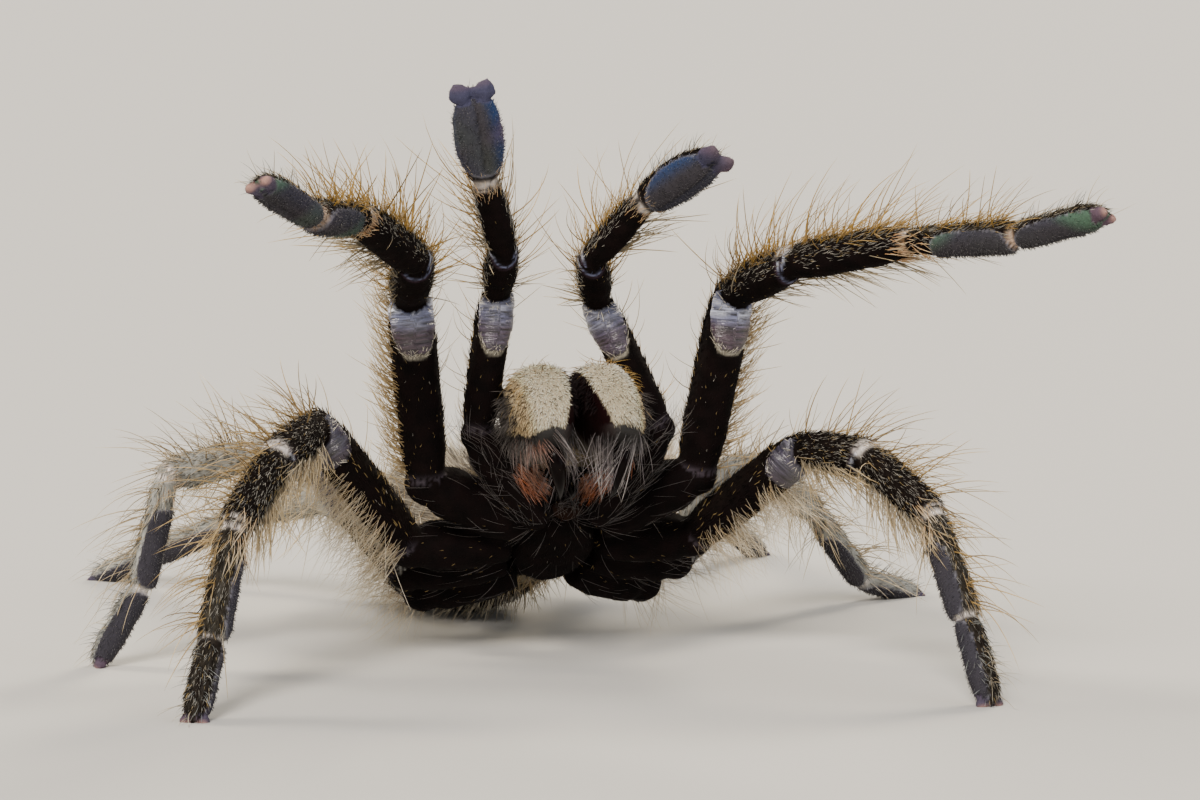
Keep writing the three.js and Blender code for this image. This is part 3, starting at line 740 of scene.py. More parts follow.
def kneeTint(info, spots, colour):
    # blue grey skin with painted highlights on its creases, brightest over the joint, and mauve below it, in
    # a cream rim
    knee, palp, down = spots["knee"], isKind(info, "palp"), -spots["kneeAlong"]
    return layered(
        colour,
        "kneeRim", spots["kneeRim"] * 0.5 * ramp(down, 3.4, 4.2),
        "membrane", knee,
        # painted highlights on the crests of the creases, fading out down the bone
        "membraneHighlight", knee * np.clip(0.18 + 0.7 * creases(info, spots), 0, 1) * fade(down, 0.7, 2.8),
        "membraneDark", knee * palp * 0.52,
        "membraneDeep", knee * ramp(down, 1.2, 2.9) * np.where(palp, 0.8, 1),
        "membraneDark", knee * isKind(info, "leg2", "leg3", "leg4") * 0.9)


def ringTint(info, spots, colour):
    # the crescents over the shins and the pale rings at the ankles, feet and hips
    belly, first = info["belly"], isKind(info, "leg1")
    beneath = ramp(belly, 0.4, 0.6) * first
    broken = ramp(softNoise(info["points"], 1.1, 14), -0.75, -0.3)
    return layered(
        colour,
        "membraneDeep", spots["crescentFold"] * 0.7,
        "membrane", spots["crescent"] * 0.6,
        # a painted highlight along the crescent, fading out towards the underside
        "membraneHighlight", spots["crescent"] * fade(belly, 0.55, 0.75) * 0.6,
        "ring", spots["cap"] * 0.9,
        "ring", spots["ring"] * broken * (1 - 0.7 * beneath) * np.where(isKind(info, "palp"), 0.5, 1),
        "ringBuff", spots["ring"] * beneath * 0.7,
        "ringBuff", spots["footRing"] * first,
        "ring", spots["footRing"] * np.where(first, 0.25, 0.8),
        "hipLilac", spots["hipRing"] * 0.6)


def padTint(info, spots, colour):
    # slate soles with a painted iridescent sheen in blue, green, teal and pink, strongest on the palps, and
    # mauve brushes with peach tips
    points, pad, tuft, palpFoot = info["points"], spots["pad"], spots["tuft"], isBone(info, "palpTarsus")
    shimmer, blush, teal = softNoise(points, 6, 7), softNoise(points, 5, 8), softNoise(points, 7, 21)
    paintedSheen = np.select([palpFoot, info["kind"] == "leg1"], [1.0, 0.15], 0.05) * pad
    turned = info["angle"] * info["side"]
    far = np.where(info["side"] > 0, 0.8, 0.3)
    flank = np.where(turned > 0, ramp(np.pi - turned - far, 0, 0.9),
                     0.12 + 0.3 * ramp(np.pi + turned, 1.0, 1.4))
    end = ramp(info["along"] - info["length"], -0.3, 0.35)
    return layered(
        colour,
        "padSlate", pad,
        # painted iridescent sheen: blue on one flank of each sole, green on the other, pink and teal in
        # patches
        "padBlue", paintedSheen * flank * (0.75 + 0.25 * shimmer),
        "padGreen", paintedSheen * (1 - flank) * ramp(-shimmer, -0.4, 0.6) * 0.35,
        "padPink", paintedSheen * ramp(blush, -0.2, 0.8) * 0.55,
        "padTeal", pad * isKind(info, "leg1") * ramp(teal, 0.0, 0.8) * 0.6,
        "velvet", pad * hump(info["belly"], 1, 0.025) * 0.4,
        "padEdge", spots["padEdge"] * 0.45,
        "tuft", tuft,
        "tuftPeach", tuft * end * np.where(info["bone"] == "tarsus", 0.9, 0.12),
        # a little of the same painted sheen, blue and pink, on the brushes
        "padBlue", tuft * palpFoot * ramp(shimmer, -0.2, 0.6) * 0.3,
        "padPink", tuft * (1 - end) * ramp(blush, -0.2, 0.5) * 0.6)


def tint(info, spots=None):
    # the one set of markings that skin and coat both wear
    spots = zones(info) if spots is None else spots
    patch, fine = softNoise(info["points"], 5, 1), softNoise(info["points"], 1.3, 2)
    colour = jawTint(info, spots, limbTint(info, patch, fine), patch)
    colour = bodyTint(info, colour, patch, fine)
    return np.clip(padTint(info, spots, ringTint(info, spots, kneeTint(info, spots, colour))), 0, 1)


def setTint(mesh, values, name="tint"):
    layer = mesh.color_attributes.new(name, "FLOAT_COLOR", "POINT")
    opaque = np.concatenate([values, np.ones((len(values), 1))], 1)
    layer.data.foreach_set("color", opaque.astype(np.float32).ravel())


def shapeSkin():
    points = readPoints(skinMesh, "co")
    parts, segments = ownersOf(points)
    info = describe(points, parts, segments)
    spots, r = zones(info), relief
    rings = spots["ring"] + spots["footRing"]
    rise = spots["knee"] * (r["kneeSwell"] + r["wrinkle"] * creases(info, spots))
    rise += np.clip(spots["pad"] - spots["tuft"], 0, 1) * r["padRise"]
    rise -= r["ringSink"] * (spots["ring"] * 0.9 + spots["footRing"] + spots["crescentShade"])
    rise -= r["ringSink"] * hump(spots["kneeAlong"], 0, 0.35) * (1 - spots["knee"])
    rise += r["crescentRise"] * spots["crescent"]
    rise -= r["padCrease"] * spots["pad"] * hump(info["belly"], 1, 0.03)
    rise += r["grain"] * softNoise(points, 1.1, 5)
    moved = points + readPoints(skinMesh, "normal") * rise[:, None]
    moved[:, 2] = np.maximum(moved[:, 2], stance["floorGap"])
    movePoints(skinMesh, moved)
    # the jaws' pile darkens the skin beneath it: painted shade
    setTint(skinMesh, tint(info, spots) * (1 - r["pileShade"] * spots["pile"])[:, None])
    setTint(skinMesh, np.stack([bowed(info, spots), info["angle"], info["part"]], 1), "chart")
    # how bare, how far under a sole and how horny each point is
    bare = spots["knee"] + 0.4 * spots["crescent"] + 0.5 * rings + 0.3 * spots["hipRing"]
    horn = (info["bone"] == "jaw") * (1 - spots["pile"]) * fade(spots["jawArch"], 11.9, 12.2) * \
        ramp(spots["jawOuter"], -2.0, -1.2) * 0.55
    under = np.clip(spots["pad"] + spots["tuft"], 0, 1)
    setTint(skinMesh, np.stack([np.clip(bare, 0, 1), under, horn], 1), "finish")
    return parts, segments


skinParts, skinSegments = shapeSkin()
print("skin shaped and marked")


def addNode(tree, kind, settings=None, links=None):
    node = tree.nodes.new(kind)
    for key, value in (settings or {}).items():
        if hasattr(node, str(key)):
            setattr(node, key, value)
        else:
            node.inputs[key].default_value = value
    for key, socket in (links or {}).items():
        tree.links.new(socket, node.inputs[key])
    return node


def newMaterial(name, **settings):
    material = bpy.data.materials.new(name)
    material.use_nodes = True
    tree = material.node_tree
    shader = tree.nodes["Principled BSDF"]
    for key, value in settings.items():
        shader.inputs[key.replace("_", " ")].default_value = value
    return material, tree, shader


def maths(tree, operation, first, second):
    both = {0: first, 1: second}
    links = {k: v for k, v in both.items() if not isinstance(v, float)}
    values = {k: v for k, v in both.items() if k not in links}
    return addNode(tree, "ShaderNodeMath", {"operation": operation, **values}, links).outputs["Value"]


def mapRange(tree, value, toMin, toMax, **limits):
    settings = {key.replace("_", " "): limit for key, limit in limits.items()}
    settings.update({"To Min": toMin, "To Max": toMax})
    return addNode(tree, "ShaderNodeMapRange", settings, {"Value": value}).outputs["Result"]


def noise(tree, vector, scale, detail, **settings):
    settings.update({"Scale": scale, "Detail": detail})
    return addNode(tree, "ShaderNodeTexNoise", settings, {"Vector": vector}).outputs["Fac"]


def attribute(tree, name, output="Color"):
    return addNode(tree, "ShaderNodeAttribute", {"attribute_name": name}).outputs[output]


def objectPlace(tree):
    return addNode(tree, "ShaderNodeTexCoord").outputs["Object"]


def tinted(tree, shader, amount):
    # the painted tint, made lighter and darker by amount
    scaled = addNode(tree, "ShaderNodeVectorMath", {"operation": "SCALE"},
                     {0: attribute(tree, "tint"), "Scale": amount})
    tree.links.new(scaled.outputs["Vector"], shader.inputs["Base Color"])


def bumped(tree, shader, height, strength, distance):
    bump = addNode(tree, "ShaderNodeBump", {"Strength": strength, "Distance": distance}, {"Height": height})
    tree.links.new(bump.outputs["Normal"], shader.inputs["Normal"])


def makeCuticle():
    # Chitin under a velvet nap: dark and matt, with a waxy shine on bare joint skin and the horn of the jaws.
    material, tree, shader = newMaterial("tarantulaCuticle", IOR=1.56)
    finish = addNode(tree, "ShaderNodeSeparateColor", {}, {"Color": attribute(tree, "finish")}).outputs
    # the nap's clumps are about a fifth of a millimetre across, and the joint skin bears fine cross lines
    # with painted highlights and shade
    nap = noise(tree, objectPlace(tree), 5000.0, 3.0)
    drawnOut = addNode(tree, "ShaderNodeVectorMath", {"operation": "MULTIPLY", 1: (4.0, 0.8, 3.0)},
                       {0: attribute(tree, "chart", "Vector")})
    streak = noise(tree, drawnOut.outputs["Vector"], 1.0, 4.0, Roughness=0.62, Distortion=0.35)
    spread = mapRange(tree, streak, -1.0, 1.0, From_Min=0.3, From_Max=0.7)
    fold = maths(tree, "MULTIPLY", spread, finish["Red"])
    # painted highlight on the crests of the folds and painted shade in their troughs
    amount = maths(tree, "ADD", mapRange(tree, nap, 0.65, 1.3), maths(tree, "MULTIPLY", fold, 1.1))
    tinted(tree, shader, amount)
    shine = maths(tree, "MAXIMUM", finish["Red"], finish["Blue"])
    tree.links.new(mapRange(tree, shine, 0.85, 0.28), shader.inputs["Roughness"])
    tree.links.new(mapRange(tree, shine, 0.05, 0.6), shader.inputs["Specular IOR Level"])
    bumped(tree, shader, maths(tree, "ADD", nap, maths(tree, "MULTIPLY", fold, 1.6)), 0.5, 0.00006)
    return material


cuticle = makeCuticle()
skinMesh.materials.append(cuticle)


# A surface that hair can be rooted on: its triangles, with what each of them belongs to.
def surfaceOf(mesh, parts, segments):
    points, normals = readPoints(mesh, "co") / mm, readPoints(mesh, "normal")
    mesh.calc_loop_triangles()
    corners = np.empty(len(mesh.loop_triangles) * 3, np.int32)
    mesh.loop_triangles.foreach_get("vertices", corners)
    corners = corners.reshape(-1, 3)
    a, b, c = (points[corners[:, i]] for i in range(3))
    info = describe((a + b + c) / 3, parts[corners[:, 0]], segments[corners[:, 0]])
    return {"corners": (a, b, c), "normal": unit(normals[corners].mean(1)), "info": info,
            "area": np.linalg.norm(np.cross(b - a, c - a), axis=1) / 2}


def rootsOn(surface, density):
    # density is hairs for each square millimetre, one value for every triangle
    number = np.floor(density * surface["area"] + chance.random(len(density))).astype(int)
    chosen = np.repeat(np.arange(len(density)), number)
    a, b = chance.random((2, len(chosen), 1))
    a, b = np.where(a + b > 1, 1 - a, a), np.where(a + b > 1, 1 - b, b)
    p, q, r = (corner[chosen] for corner in surface["corners"])
    roots = p + (q - p) * a + (r - p) * b
    info = surface["info"]
    return roots, surface["normal"][chosen], describe(roots, info["part"][chosen], info["segment"][chosen])


# What every hair shares: how its curl, fall and girth vary, how far its tip tucks in, the least and
# the greatest rise in degrees, how deep it is rooted, how it tapers and colours along its length,
# and its share of the map.
hairMake = {"curl": (0.5, 1.3), "fall": (0.7, 1.2), "girth": (0.8, 1.15), "girthByLength": (0.6, 1.2),
            "tuck": 0.55, "rise": (4, 88), "rooted": 0.06, "taper": 0.45, "blend": 1.2, "ringStep": 0.9,
            "mapPatch": 0.003}


def mapPlace(info):
    # where each root lies on an unwrap of the skin: limbs side by side above, the body's parts below
    u = 0.01 + info["part"] * 0.098 + 0.09 * (info["angle"] / (2 * np.pi) + 0.5)
    v = 0.44 + 0.54 * np.clip(info["station"] / 78, 0, 1)
    ax, ay, az = info["abdomen"].T
    x, f, high = info["x"], info["f"], info["u"]
    sheets = {    # corner and size on the map, and the two coordinates that spread over it
        "jaw_left": ((0.01, 0.01), (0.17, 0.17), np.arctan2(x - 2.2, high - 2.8) / 6.4 + 0.5, (f - 8) / 12),
        "jaw_right": ((0.2, 0.01), (0.17, 0.17), np.arctan2(-x - 2.2, high - 2.8) / 6.4 + 0.5, (f - 8) / 12),
        "carapace": ((0.01, 0.2), (0.2, 0.2), x / 20 + 0.5, f / 26 + 0.5),
        "sternum": ((0.23, 0.2), (0.15, 0.2), x / 16 + 0.5, f / 20 + 0.5),
        "labium": ((0.39, 0.01), (0.04, 0.04), x / 4 + 0.5, (f - 4) / 4),
        "pedicel": ((0.39, 0.06), (0.04, 0.04), x / 5 + 0.5, (high + 3) / 8),
        "abdomen": ((0.45, 0.01), (0.53, 0.4), np.arctan2(ax, az) / 6.4 + 0.5, ay / 36 + 0.45),
    }
    for name, (corner, size, a, b) in sheets.items():
        here = info["part"] == partNames.index(name)
        u = np.where(here, corner[0] + size[0] * np.clip(a, 0, 1), u)
        v = np.where(here, corner[1] + size[1] * np.clip(b, 0, 1), v)
    return np.stack([u, v], 1)


def hairMesh(name, roots, lean, bend, lengths, radii, rootTone, tipTone, places, rings):
    # tapered three-sided hairs: lean is the way a hair leaves the skin, bend carries its tip off that line
    count = len(roots)
    side = unit(np.cross(lean, bend + chance.normal(size=(count, 3)) * 0.05))
    other = np.cross(lean, side)
    levels = [*np.linspace(0, 1, rings + 1)[:-1] ** hairMake["ringStep"], 1.0]
    points = np.empty((count, rings * 3 + 1, 3))
    tones = np.empty((count, rings * 3 + 1, 3))
    for k, q in enumerate(levels):
        middle = roots + (lengths * q)[:, None] * lean + (lengths * q * q)[:, None] * bend
        blend = q ** hairMake["blend"]
        colour = rootTone * (1 - blend) + tipTone * blend
        if k == rings:
            points[:, -1], tones[:, -1] = middle, colour
            break
        size = radii * (1 - q) ** hairMake["taper"]
        for j in range(3):
            turn = 2 * math.pi * j / 3
            points[:, k * 3 + j] = middle + size[:, None] * (math.cos(turn) * side + math.sin(turn) * other)
            tones[:, k * 3 + j] = colour
    points[..., 2] = np.maximum(points[..., 2], stance["floorGap"])
    pattern, spread = [], []
    for k in range(rings):
        low, high = levels[k], levels[k + 1]
        for j in range(3):
            a, b = k * 3 + j, k * 3 + (j + 1) % 3
            if k < rings - 1:
                pattern += [(a, b, b + 3), (a, b + 3, a + 3)]
                spread += [((j, low), (j + 1, low), (j + 1, high)), ((j, low), (j + 1, high), (j, high))]
            else:
                pattern.append((a, b, rings * 3))
                spread.append(((j, low), (j + 1, low), (j + 0.5, high)))
    faces = (np.arange(count)[:, None, None] * (rings * 3 + 1) + np.array(pattern)[None]).reshape(-1, 3)
    mesh = meshOf(name, points.reshape(-1, 3), faces)
    local = (np.array(spread, float) / (3, 1) - 0.5) * hairMake["mapPatch"]
    places = np.clip(places[:, None, None, :] + local[None], 0.001, 0.999)
    mesh.uv_layers.new(name="OFBake").data.foreach_set("uv", places.astype(np.float32).ravel())
    setTint(mesh, tones.reshape(-1, 3))
    return mesh


skinSurface = surfaceOf(skinMesh, skinParts, skinSegments)
faceInfo = skinSurface["info"]
faceSpots = zones(faceInfo)
faceBone, faceKind, faceBelly = faceInfo["bone"], faceInfo["kind"], faceInfo["belly"]
faceBare = np.clip(sum(faceSpots[key] for key in ("knee", "crescent", "crescentFold", "ring", "footRing"))
                   + faceSpots["cap"] * rearOf(faceInfo), 0, 1)
backward, upward = skinSurface["normal"][:, 1], skinSurface["normal"][:, 2]
isLimb = faceInfo["part"] < len(limbNames)
sole = np.clip(faceSpots["pad"] + faceSpots["tuft"], 0, 1)
covered = (1 - faceBare) * (1 - sole)
print("skin area:", round(skinSurface["area"].sum()), "square mm")


def combed(info, normals):
    # the way hair is combed: down each limb, out over the underside, back over the abdomen and shield
    comb, x = info["way"].copy(), info["x"][:, None]
    for bone, way in {
        "abdomen": abdomenTurn @ np.array([0, 1, -0.12]), "pedicel": -forward, "labium": forward,
        "jaw": np.array([0, -0.35, -1]), "sternum": x * across * 0.16 - forward,
        "carapace": x * across + (info["f"] - carapace["foveaAt"])[:, None] * forward,
    }.items():
        comb = np.where(isBone(info, bone)[:, None], way, comb)
    return comb


def coat(slot, hair, **more):
    # Length, radius and curl in mm, rise and spread in degrees, density in hairs for each square mm.
    # The tones of root and tip are layers, or a function of the place.
    return {"slot": slot, "hair": hair, "riseSpread": 7, "wander": 0.04, "vary": 0.16, "comb": combed,
            "lengthShare": lambda info: 1, "fall": None, **more}


def growCoat(name, piece, share, surface=skinSurface):
    # share is how much of the piece's density each triangle of the surface gets
    h = hairMake
    roots, normals, info = rootsOn(surface, piece["density"] * share)
    comb = piece["comb"](info, normals)
    comb = unit(comb - normals * np.einsum("ij,ij->i", comb, normals)[:, None])
    count = len(roots)
    turn = np.radians(chance.normal(0, piece["spread"], count))[:, None]
    comb = unit(comb * np.cos(turn) + np.cross(normals, comb) * np.sin(turn))
    rise = np.radians(np.clip(chance.normal(piece["rise"], piece["riseSpread"], count), *h["rise"]))[:, None]
    lean = comb * np.cos(rise) + normals * np.sin(rise)
    size = chance.uniform(*piece["length"], count) * piece["lengthShare"](info)
    bend = piece["curl"] * chance.uniform(*h["curl"], (count, 1)) * (comb - h["tuck"] * normals) \
        + chance.normal(0, piece["wander"], (count, 3))
    if piece["fall"]:
        bend = bend + np.array(piece["fall"]) * chance.uniform(*h["fall"], (count, 1))
    radii = piece["radius"] * chance.uniform(*h["girth"], count)
    radii = radii * np.clip(size / np.mean(piece["length"]), *h["girthByLength"])
    vary = (1 + chance.normal(0, piece["vary"], count))[:, None]
    tones = piece["tones"]
    tones = tones(info) if callable(tones) else [mixed(info, *layers) for layers in tones]
    rootTone, tipTone = (np.clip(shade * vary, 0, 1) for shade in tones)
    mesh = hairMesh(name, roots - normals * h["rooted"], lean, bend, size, radii, rootTone, tipTone,
                    mapPlace(info), piece["rings"])
    mesh.materials.append(piece["hair"])
    settle(newObject(name, mesh), piece["slot"])
    print(name, count, "hairs,", len(mesh.polygons), "triangles")


def makeSetae(name, roughness, sheen, specular, grain):
    # Chitin hair: fine, stiff and slightly waxy, so it takes a soft streak of light along its length.
    material, tree, shader = newMaterial(name, IOR=1.56, Roughness=roughness, Sheen_Weight=sheen,
                                         Sheen_Roughness=0.35, Specular_IOR_Level=specular)
    tinted(tree, shader, mapRange(tree, noise(tree, objectPlace(tree), grain, 2.0), 0.75, 1.25))
    return material


# grain is in patches for each metre: about 0.8, 1.4, 1.1 and 0.7 mm
velvetSetae = makeSetae("velvetSetae", 0.68, 0.0, 0.07, 1200.0)
goldenSetae = makeSetae("goldenSetae", 0.38, 0.1, 0.5, 700.0)
fringeSetae = makeSetae("fringeSetae", 0.45, 0.1, 0.4, 900.0)
padSetae = makeSetae("scopulaSetae", 0.42, 0.15, 0.5, 1500.0)


def scatter(most=1):
    # a share that differs from hair to hair
    return lambda info: most * chance.random(len(info["t"]))


def tintTones(rootLight, tipLight):
    # the skin's own markings, darker at the root and lighter at the tip
    return lambda info: [np.clip(tint(info) * light, 0, 1) for light in (rootLight, tipLight)]


def shortTones(info):
    base, rear = tint(info), rearOf(info)
    pick = chance.random(len(base))
    onBack = info["belly"] < 0.45 + 0.4 * rear
    silver = (pick < 0.012 + 0.3 * rear * onBack * (info["kind"] != "leg2")) & ~isBone(info, "hip")
    gold = pick > 1 - (0.02 + 0.03 * isBone(info, "femur") + 0.05 * rear * onBack)
    dark = (pick > 0.5) * (pick < 0.5 + 0.3 * rear) * onBack * 0.7
    return [layered(base * light, "velvetBrown", dark, "flecks", gold * 0.8, "silver", silver * share)
            for light, share in ((0.8, 0.6), (1.25, 0.95))]


def shortShare(info):
    return np.where(isBone(info, "hip") | (info["belly"] > 0.5 + 0.45 * rearOf(info)), 0.55, 1)


legCoat = coat("olive_coat", velvetSetae, length=(0.55, 1.0), radius=0.038, rise=18, spread=13, curl=0.1,
               rings=2, vary=0.2, density=13, beneath=12, tones=shortTones, lengthShare=shortShare)
shortOn = np.where(faceBelly > 0.55, legCoat["beneath"] / legCoat["density"], 1) * isLimb * (1 - faceBare) * \
    (1 - np.clip((faceSpots["pad"] + faceSpots["tuft"]) * 1.3, 0, 1))
for index, name in enumerate(limbNames):
    growCoat("coat_" + name, legCoat, shortOn * (faceInfo["part"] == index))


# fine silver hairs scattered over the black velvet of the front limbs, with a few golden ones
def frostTones(info):
    pick = chance.random(len(info["t"]))
    gold = (pick > 0.88) * 0.9
    return (mixed(info, "olive", "silver", 0.2 + 0.4 * pick, "flecks", gold),
            mixed(info, "silver", "olive", 0.3, "flecks", gold))


frost = coat("olive_coat", fringeSetae, length=(0.5, 0.95), radius=0.024, rise=13, riseSpread=5, spread=12,
             curl=0.08, rings=2, wander=0.03, vary=0.25, density=17, tones=frostTones)
frosted = boneShare(faceInfo, {"patella": 0.9, "tibia": 1.0, "metatarsus": 0.9, "tarsus": 0.5}) * \
    fade(faceBelly, 0.6, 0.8) * covered
growCoat("frost_front", frost, frosted * isKind(faceInfo, "palp", "leg1"))
growCoat("frost_second", frost, frosted * (faceKind == "leg2"))


# golden bristles: long single ones that stand well clear of a dense low layer
def goldenTones(info):
    pale = sum(value * (info["kind"] == kind) for kind, value in kindPale.items())
    grey = np.clip(pale * 0.9 + 0.8 * isBone(info, "tarsus", "palpTarsus"), 0, 1)
    under = ramp(info["belly"], 0.5, 0.7)
    pick = chance.random(len(info["t"]))
    root, tip = 0.35 + 0.4 * pick, 0.35 + 0.5 * pick
    return (mixed(info, "goldenRoot", "golden", root, "greyBristle", grey * 0.7, "straw", under * 0.5),
            mixed(info, "golden", "goldenTip", tip, "greyTip", grey * 0.8, "straw", under * 0.6))


kindPale = {"leg2": 0.3, "leg3": 0.8, "leg4": 0.95}
longOn = {"femur": 0.6, "patella": 0.9, "tibia": 1.0, "metatarsus": 0.85, "palpTarsus": 0.42, "tarsus": 0.4,
          "hip": 0.4}
backOn = {"femur": 0.6, "patella": 1.6, "tibia": 1.7, "metatarsus": 1.7, "palpTarsus": 0.8, "tarsus": 0.8}
underOn = {"patella": 0.5, "tibia": 0.9, "metatarsus": 1.0, "palpTarsus": 0.3, "tarsus": 0.15}
kindLow = {"palp": 1.5, "leg1": 1.5, "leg2": 0.6, "leg3": 0.5, "leg4": 0.5}


def longShare(info):
    # shorter beneath, and close under the highest feet
    nearTop = ramp(info["points"][:, 2], 41, 46)
    return boneShare(info, longOn) * np.where(info["belly"] > 0.6, 0.75, 1) * (1 - 0.75 * nearTop)


longCoat = coat("golden_bristle", goldenSetae, length=(3.8, 7.2), radius=0.058, rise=71, riseSpread=10,
                spread=17, curl=0.4, rings=6, wander=0.12, vary=0.2, density=1.0, tones=goldenTones,
                lengthShare=longShare)
lowCoat = dict(longCoat, length=(1.2, 2.8), radius=0.036, rise=42, riseSpread=14, spread=20, curl=0.36,
               rings=4, wander=0.07, density=2.6)
backWeight, underWeight = boneShare(faceInfo, backOn), boneShare(faceInfo, underOn)
sideWeight = np.where(isKind(faceInfo, "leg3", "leg4"), 0.4, 0.06)
raised = isKind(faceInfo, "palp", "leg1")
bristled = np.where(raised, backWeight * fade(faceBelly, 0.36, 0.52),
                    backWeight * np.maximum(fade(faceBelly, 0.34, 0.5), sideWeight)
                    + underWeight * ramp(faceBelly, 0.62, 0.8))
onOuter = ramp(-faceInfo["angle"] * faceInfo["side"], -0.3, 0.15)
bristled = bristled * np.where((faceKind == "leg2") & (faceBelly < 0.6), 0.08 + 1.3 * onOuter, 1) * covered
for kind in limbBuild:
    growCoat("bristles_" + kind, longCoat, bristled * (faceKind == kind))
    growCoat("underbristles_" + kind, lowCoat, kindLow[kind] * bristled * (faceKind == kind))


# straw bristles that sweep along the lower edges of the raised limbs
swept = coat("pale_hair", goldenSetae, length=(2.4, 5.0), radius=0.05, rise=36, riseSpread=10, spread=12,
             curl=0.25, rings=6, wander=0.09, density=19, fall=(0, 0, -0.15),
             tones=(("goldenRoot", "greyBristle", 0.7), ("straw", "golden", scatter(0.6))))
lowEdge = hump(faceBelly, np.where(raised, 0.5, 0.68), 0.12) * ramp(-upward, 0.2, 0.6) * \
    boneShare(faceInfo, {"patella": 1.0, "tibia": 1.0, "metatarsus": 0.5})
growCoat("swept_bristles", swept, lowEdge * isKind(faceInfo, "palp", "leg1", "leg2") * (1 - faceBare)
         * (1 - faceSpots["pad"]))


# combs of buff hair along the outer side of the upper legs, and longer ones that hang beneath them
fringe = coat("pale_hair", goldenSetae, length=(1.9, 4.0), radius=0.042, rise=60, riseSpread=12, spread=16,
              curl=0.5, rings=5, wander=0.09, density=9, fall=(0, 0, -0.12),
              tones=(("goldenRoot", "buffFringe", 0.7), ("goldenTip", "straw", 0.5)))
longFringe = dict(fringe, length=(1.8, 4.6), radius=0.021, rings=6, density=10, fall=(0, 0, -0.3),
                  vary=0.12, rise=38, curl=0.3, wander=0.1,
                  comb=lambda info, normals: info["side"][:, None] * across * 0.7 + info["way"] * 0.25
                  + np.array([0, 0, -0.9]),
                  tones=(("greyBristle", "buffFringe", scatter()), ("straw", "whiteTip", scatter())))
onFemur = (faceBone == "femur") * (1 - faceBare)
outward = skinSurface["normal"][:, 0] * faceInfo["side"]
outerEdge = ramp(outward, 0.62, 0.85) * fade(faceBelly, 0.6, 0.72) * onFemur
growCoat("fringe_front", fringe, outerEdge * (faceKind == "leg1"))
underside = ramp(-upward, 0.1, 0.5) * ramp(faceBelly, 0.55, 0.68) * onFemur
growCoat("fringe_second", longFringe, underside * (faceKind == "leg2"))
growCoat("fringe_rear", longFringe, 0.6 * underside * isKind(faceInfo, "leg3", "leg4"))


# brushes of buff hair where the shin meets the foot, and the cream rims of the kneecaps
def onSecond(share, base=0):
    return lambda info: base + share * isKind(info, "leg2")


brush = coat("pale_hair", goldenSetae, length=(1.1, 2.4), radius=0.034, rise=20, riseSpread=8, spread=13,
             curl=0.08, rings=4, wander=0.05, density=14,
             lengthShare=lambda info: np.select(
                 [info["kind"] == "palp", info["kind"] == "leg2", rearOf(info) > 0.9], [0.5, 1.25, 0.6], 1),
             tones=(("buffOrange", "buffFringe", onSecond(0.4, 0.4)),
                    ("buffTip", "straw", scatter(), "whiteTip", onSecond(0.6))))
atAnkle = hump(faceSpots["ankle"], -0.7, 0.55) + 0.7 * hump(faceSpots["ankle"], 1.2, 0.6)
growCoat("ankle_brushes", brush, np.clip(atAnkle, 0, 1) * fade(faceSpots["kneeAround"], 0.4, 0.62)
         * (1 - faceSpots["pad"]))
kneeHair = dict(brush, hair=fringeSetae, length=(0.4, 1.0), density=38, radius=0.026, rings=3, spread=26,
                comb=lambda info, normals: info["way"] * np.where(isBone(info, "patella"), -1, 1)[:, None],
                lengthShare=lambda info: 1, tones=(("kneeRim",), ("whiteTip", "silver", scatter(0.5))))
growCoat("knee_rims", kneeHair, faceSpots["kneeRim"] * (1 - faceSpots["knee"]))


# white down on the pale rings and patches at the joints
down = coat("pale_hair", fringeSetae, length=(0.3, 0.6), radius=0.03, rise=24, spread=24, curl=0.1, rings=2,
            vary=0.15, density=24, tones=(("silver",), ("whiteTip", "silver", scatter(0.3))))
downy = faceSpots["cap"] + (faceSpots["ring"] + faceSpots["footRing"]) * fade(faceBelly, 0.45, 0.6)
growCoat("joint_down", down, np.clip(downy, 0, 1) * isLimb)


# grey spikes on the backs of the feet
spikes = coat("grey_coat", goldenSetae, length=(0.8, 1.9), radius=0.03, rise=58, riseSpread=14, spread=22,
              curl=0.2, rings=4, wander=0.07, density=3.2,
              tones=(("footRoot",), ("footGrey", "greyTip", 0.3)))
growCoat("foot_spikes", spikes, isBone(faceInfo, "tarsus", "palpTarsus") * fade(faceBelly, 0.3, 0.42)
         * (1 - faceInfo["tuft"]))


# the velvet soles and the two brushes at the tip of each foot
scopula = coat("scopula", padSetae, length=(0.26, 0.4), radius=0.034, rise=60, riseSpread=12, spread=25,
               curl=0.1, rings=2, vary=0.14, density=24, tones=tintTones(0.75, 1.3),
               lengthShare=lambda info: 1 - 0.45 * info["tuft"])
growCoat("soles_front", scopula, sole * raised)
growCoat("soles_rear", scopula, 0.7 * sole * isKind(faceInfo, "leg2", "leg3", "leg4"))


# the face: cream pile on the jaws with dark flecks, and a nap on their outer sides
onJaw, pileOn, jawOut = faceBone == "jaw", faceSpots["pile"], faceSpots["jawOuter"]
jawPile = coat("cream_pile", fringeSetae, length=(0.26, 0.46), radius=0.036, rise=32, riseSpread=12,
               spread=20, curl=0.1, rings=2, vary=0.1, density=46, tones=tintTones(0.42, 1.5))
jawFlecks = dict(jawPile, hair=velvetSetae, length=(0.34, 0.58), radius=0.031, rise=30, density=11,
                 tones=(("velvet",), ("labium",)))
jawNap = dict(jawPile, slot="grey_coat", hair=velvetSetae, length=(1.0, 2.1), rise=58, radius=0.03, rings=3,
              density=14, tones=(("velvet",), ("mauveBristle", "silver", 0.25)))
growCoat("jaw_pile", jawPile, onJaw * pileOn)
growCoat("jaw_flecks", jawFlecks, onJaw * pileOn)
growCoat("jaw_nap", jawNap, onJaw * (1 - pileOn) * ramp(jawOut, 1.2, 1.8))
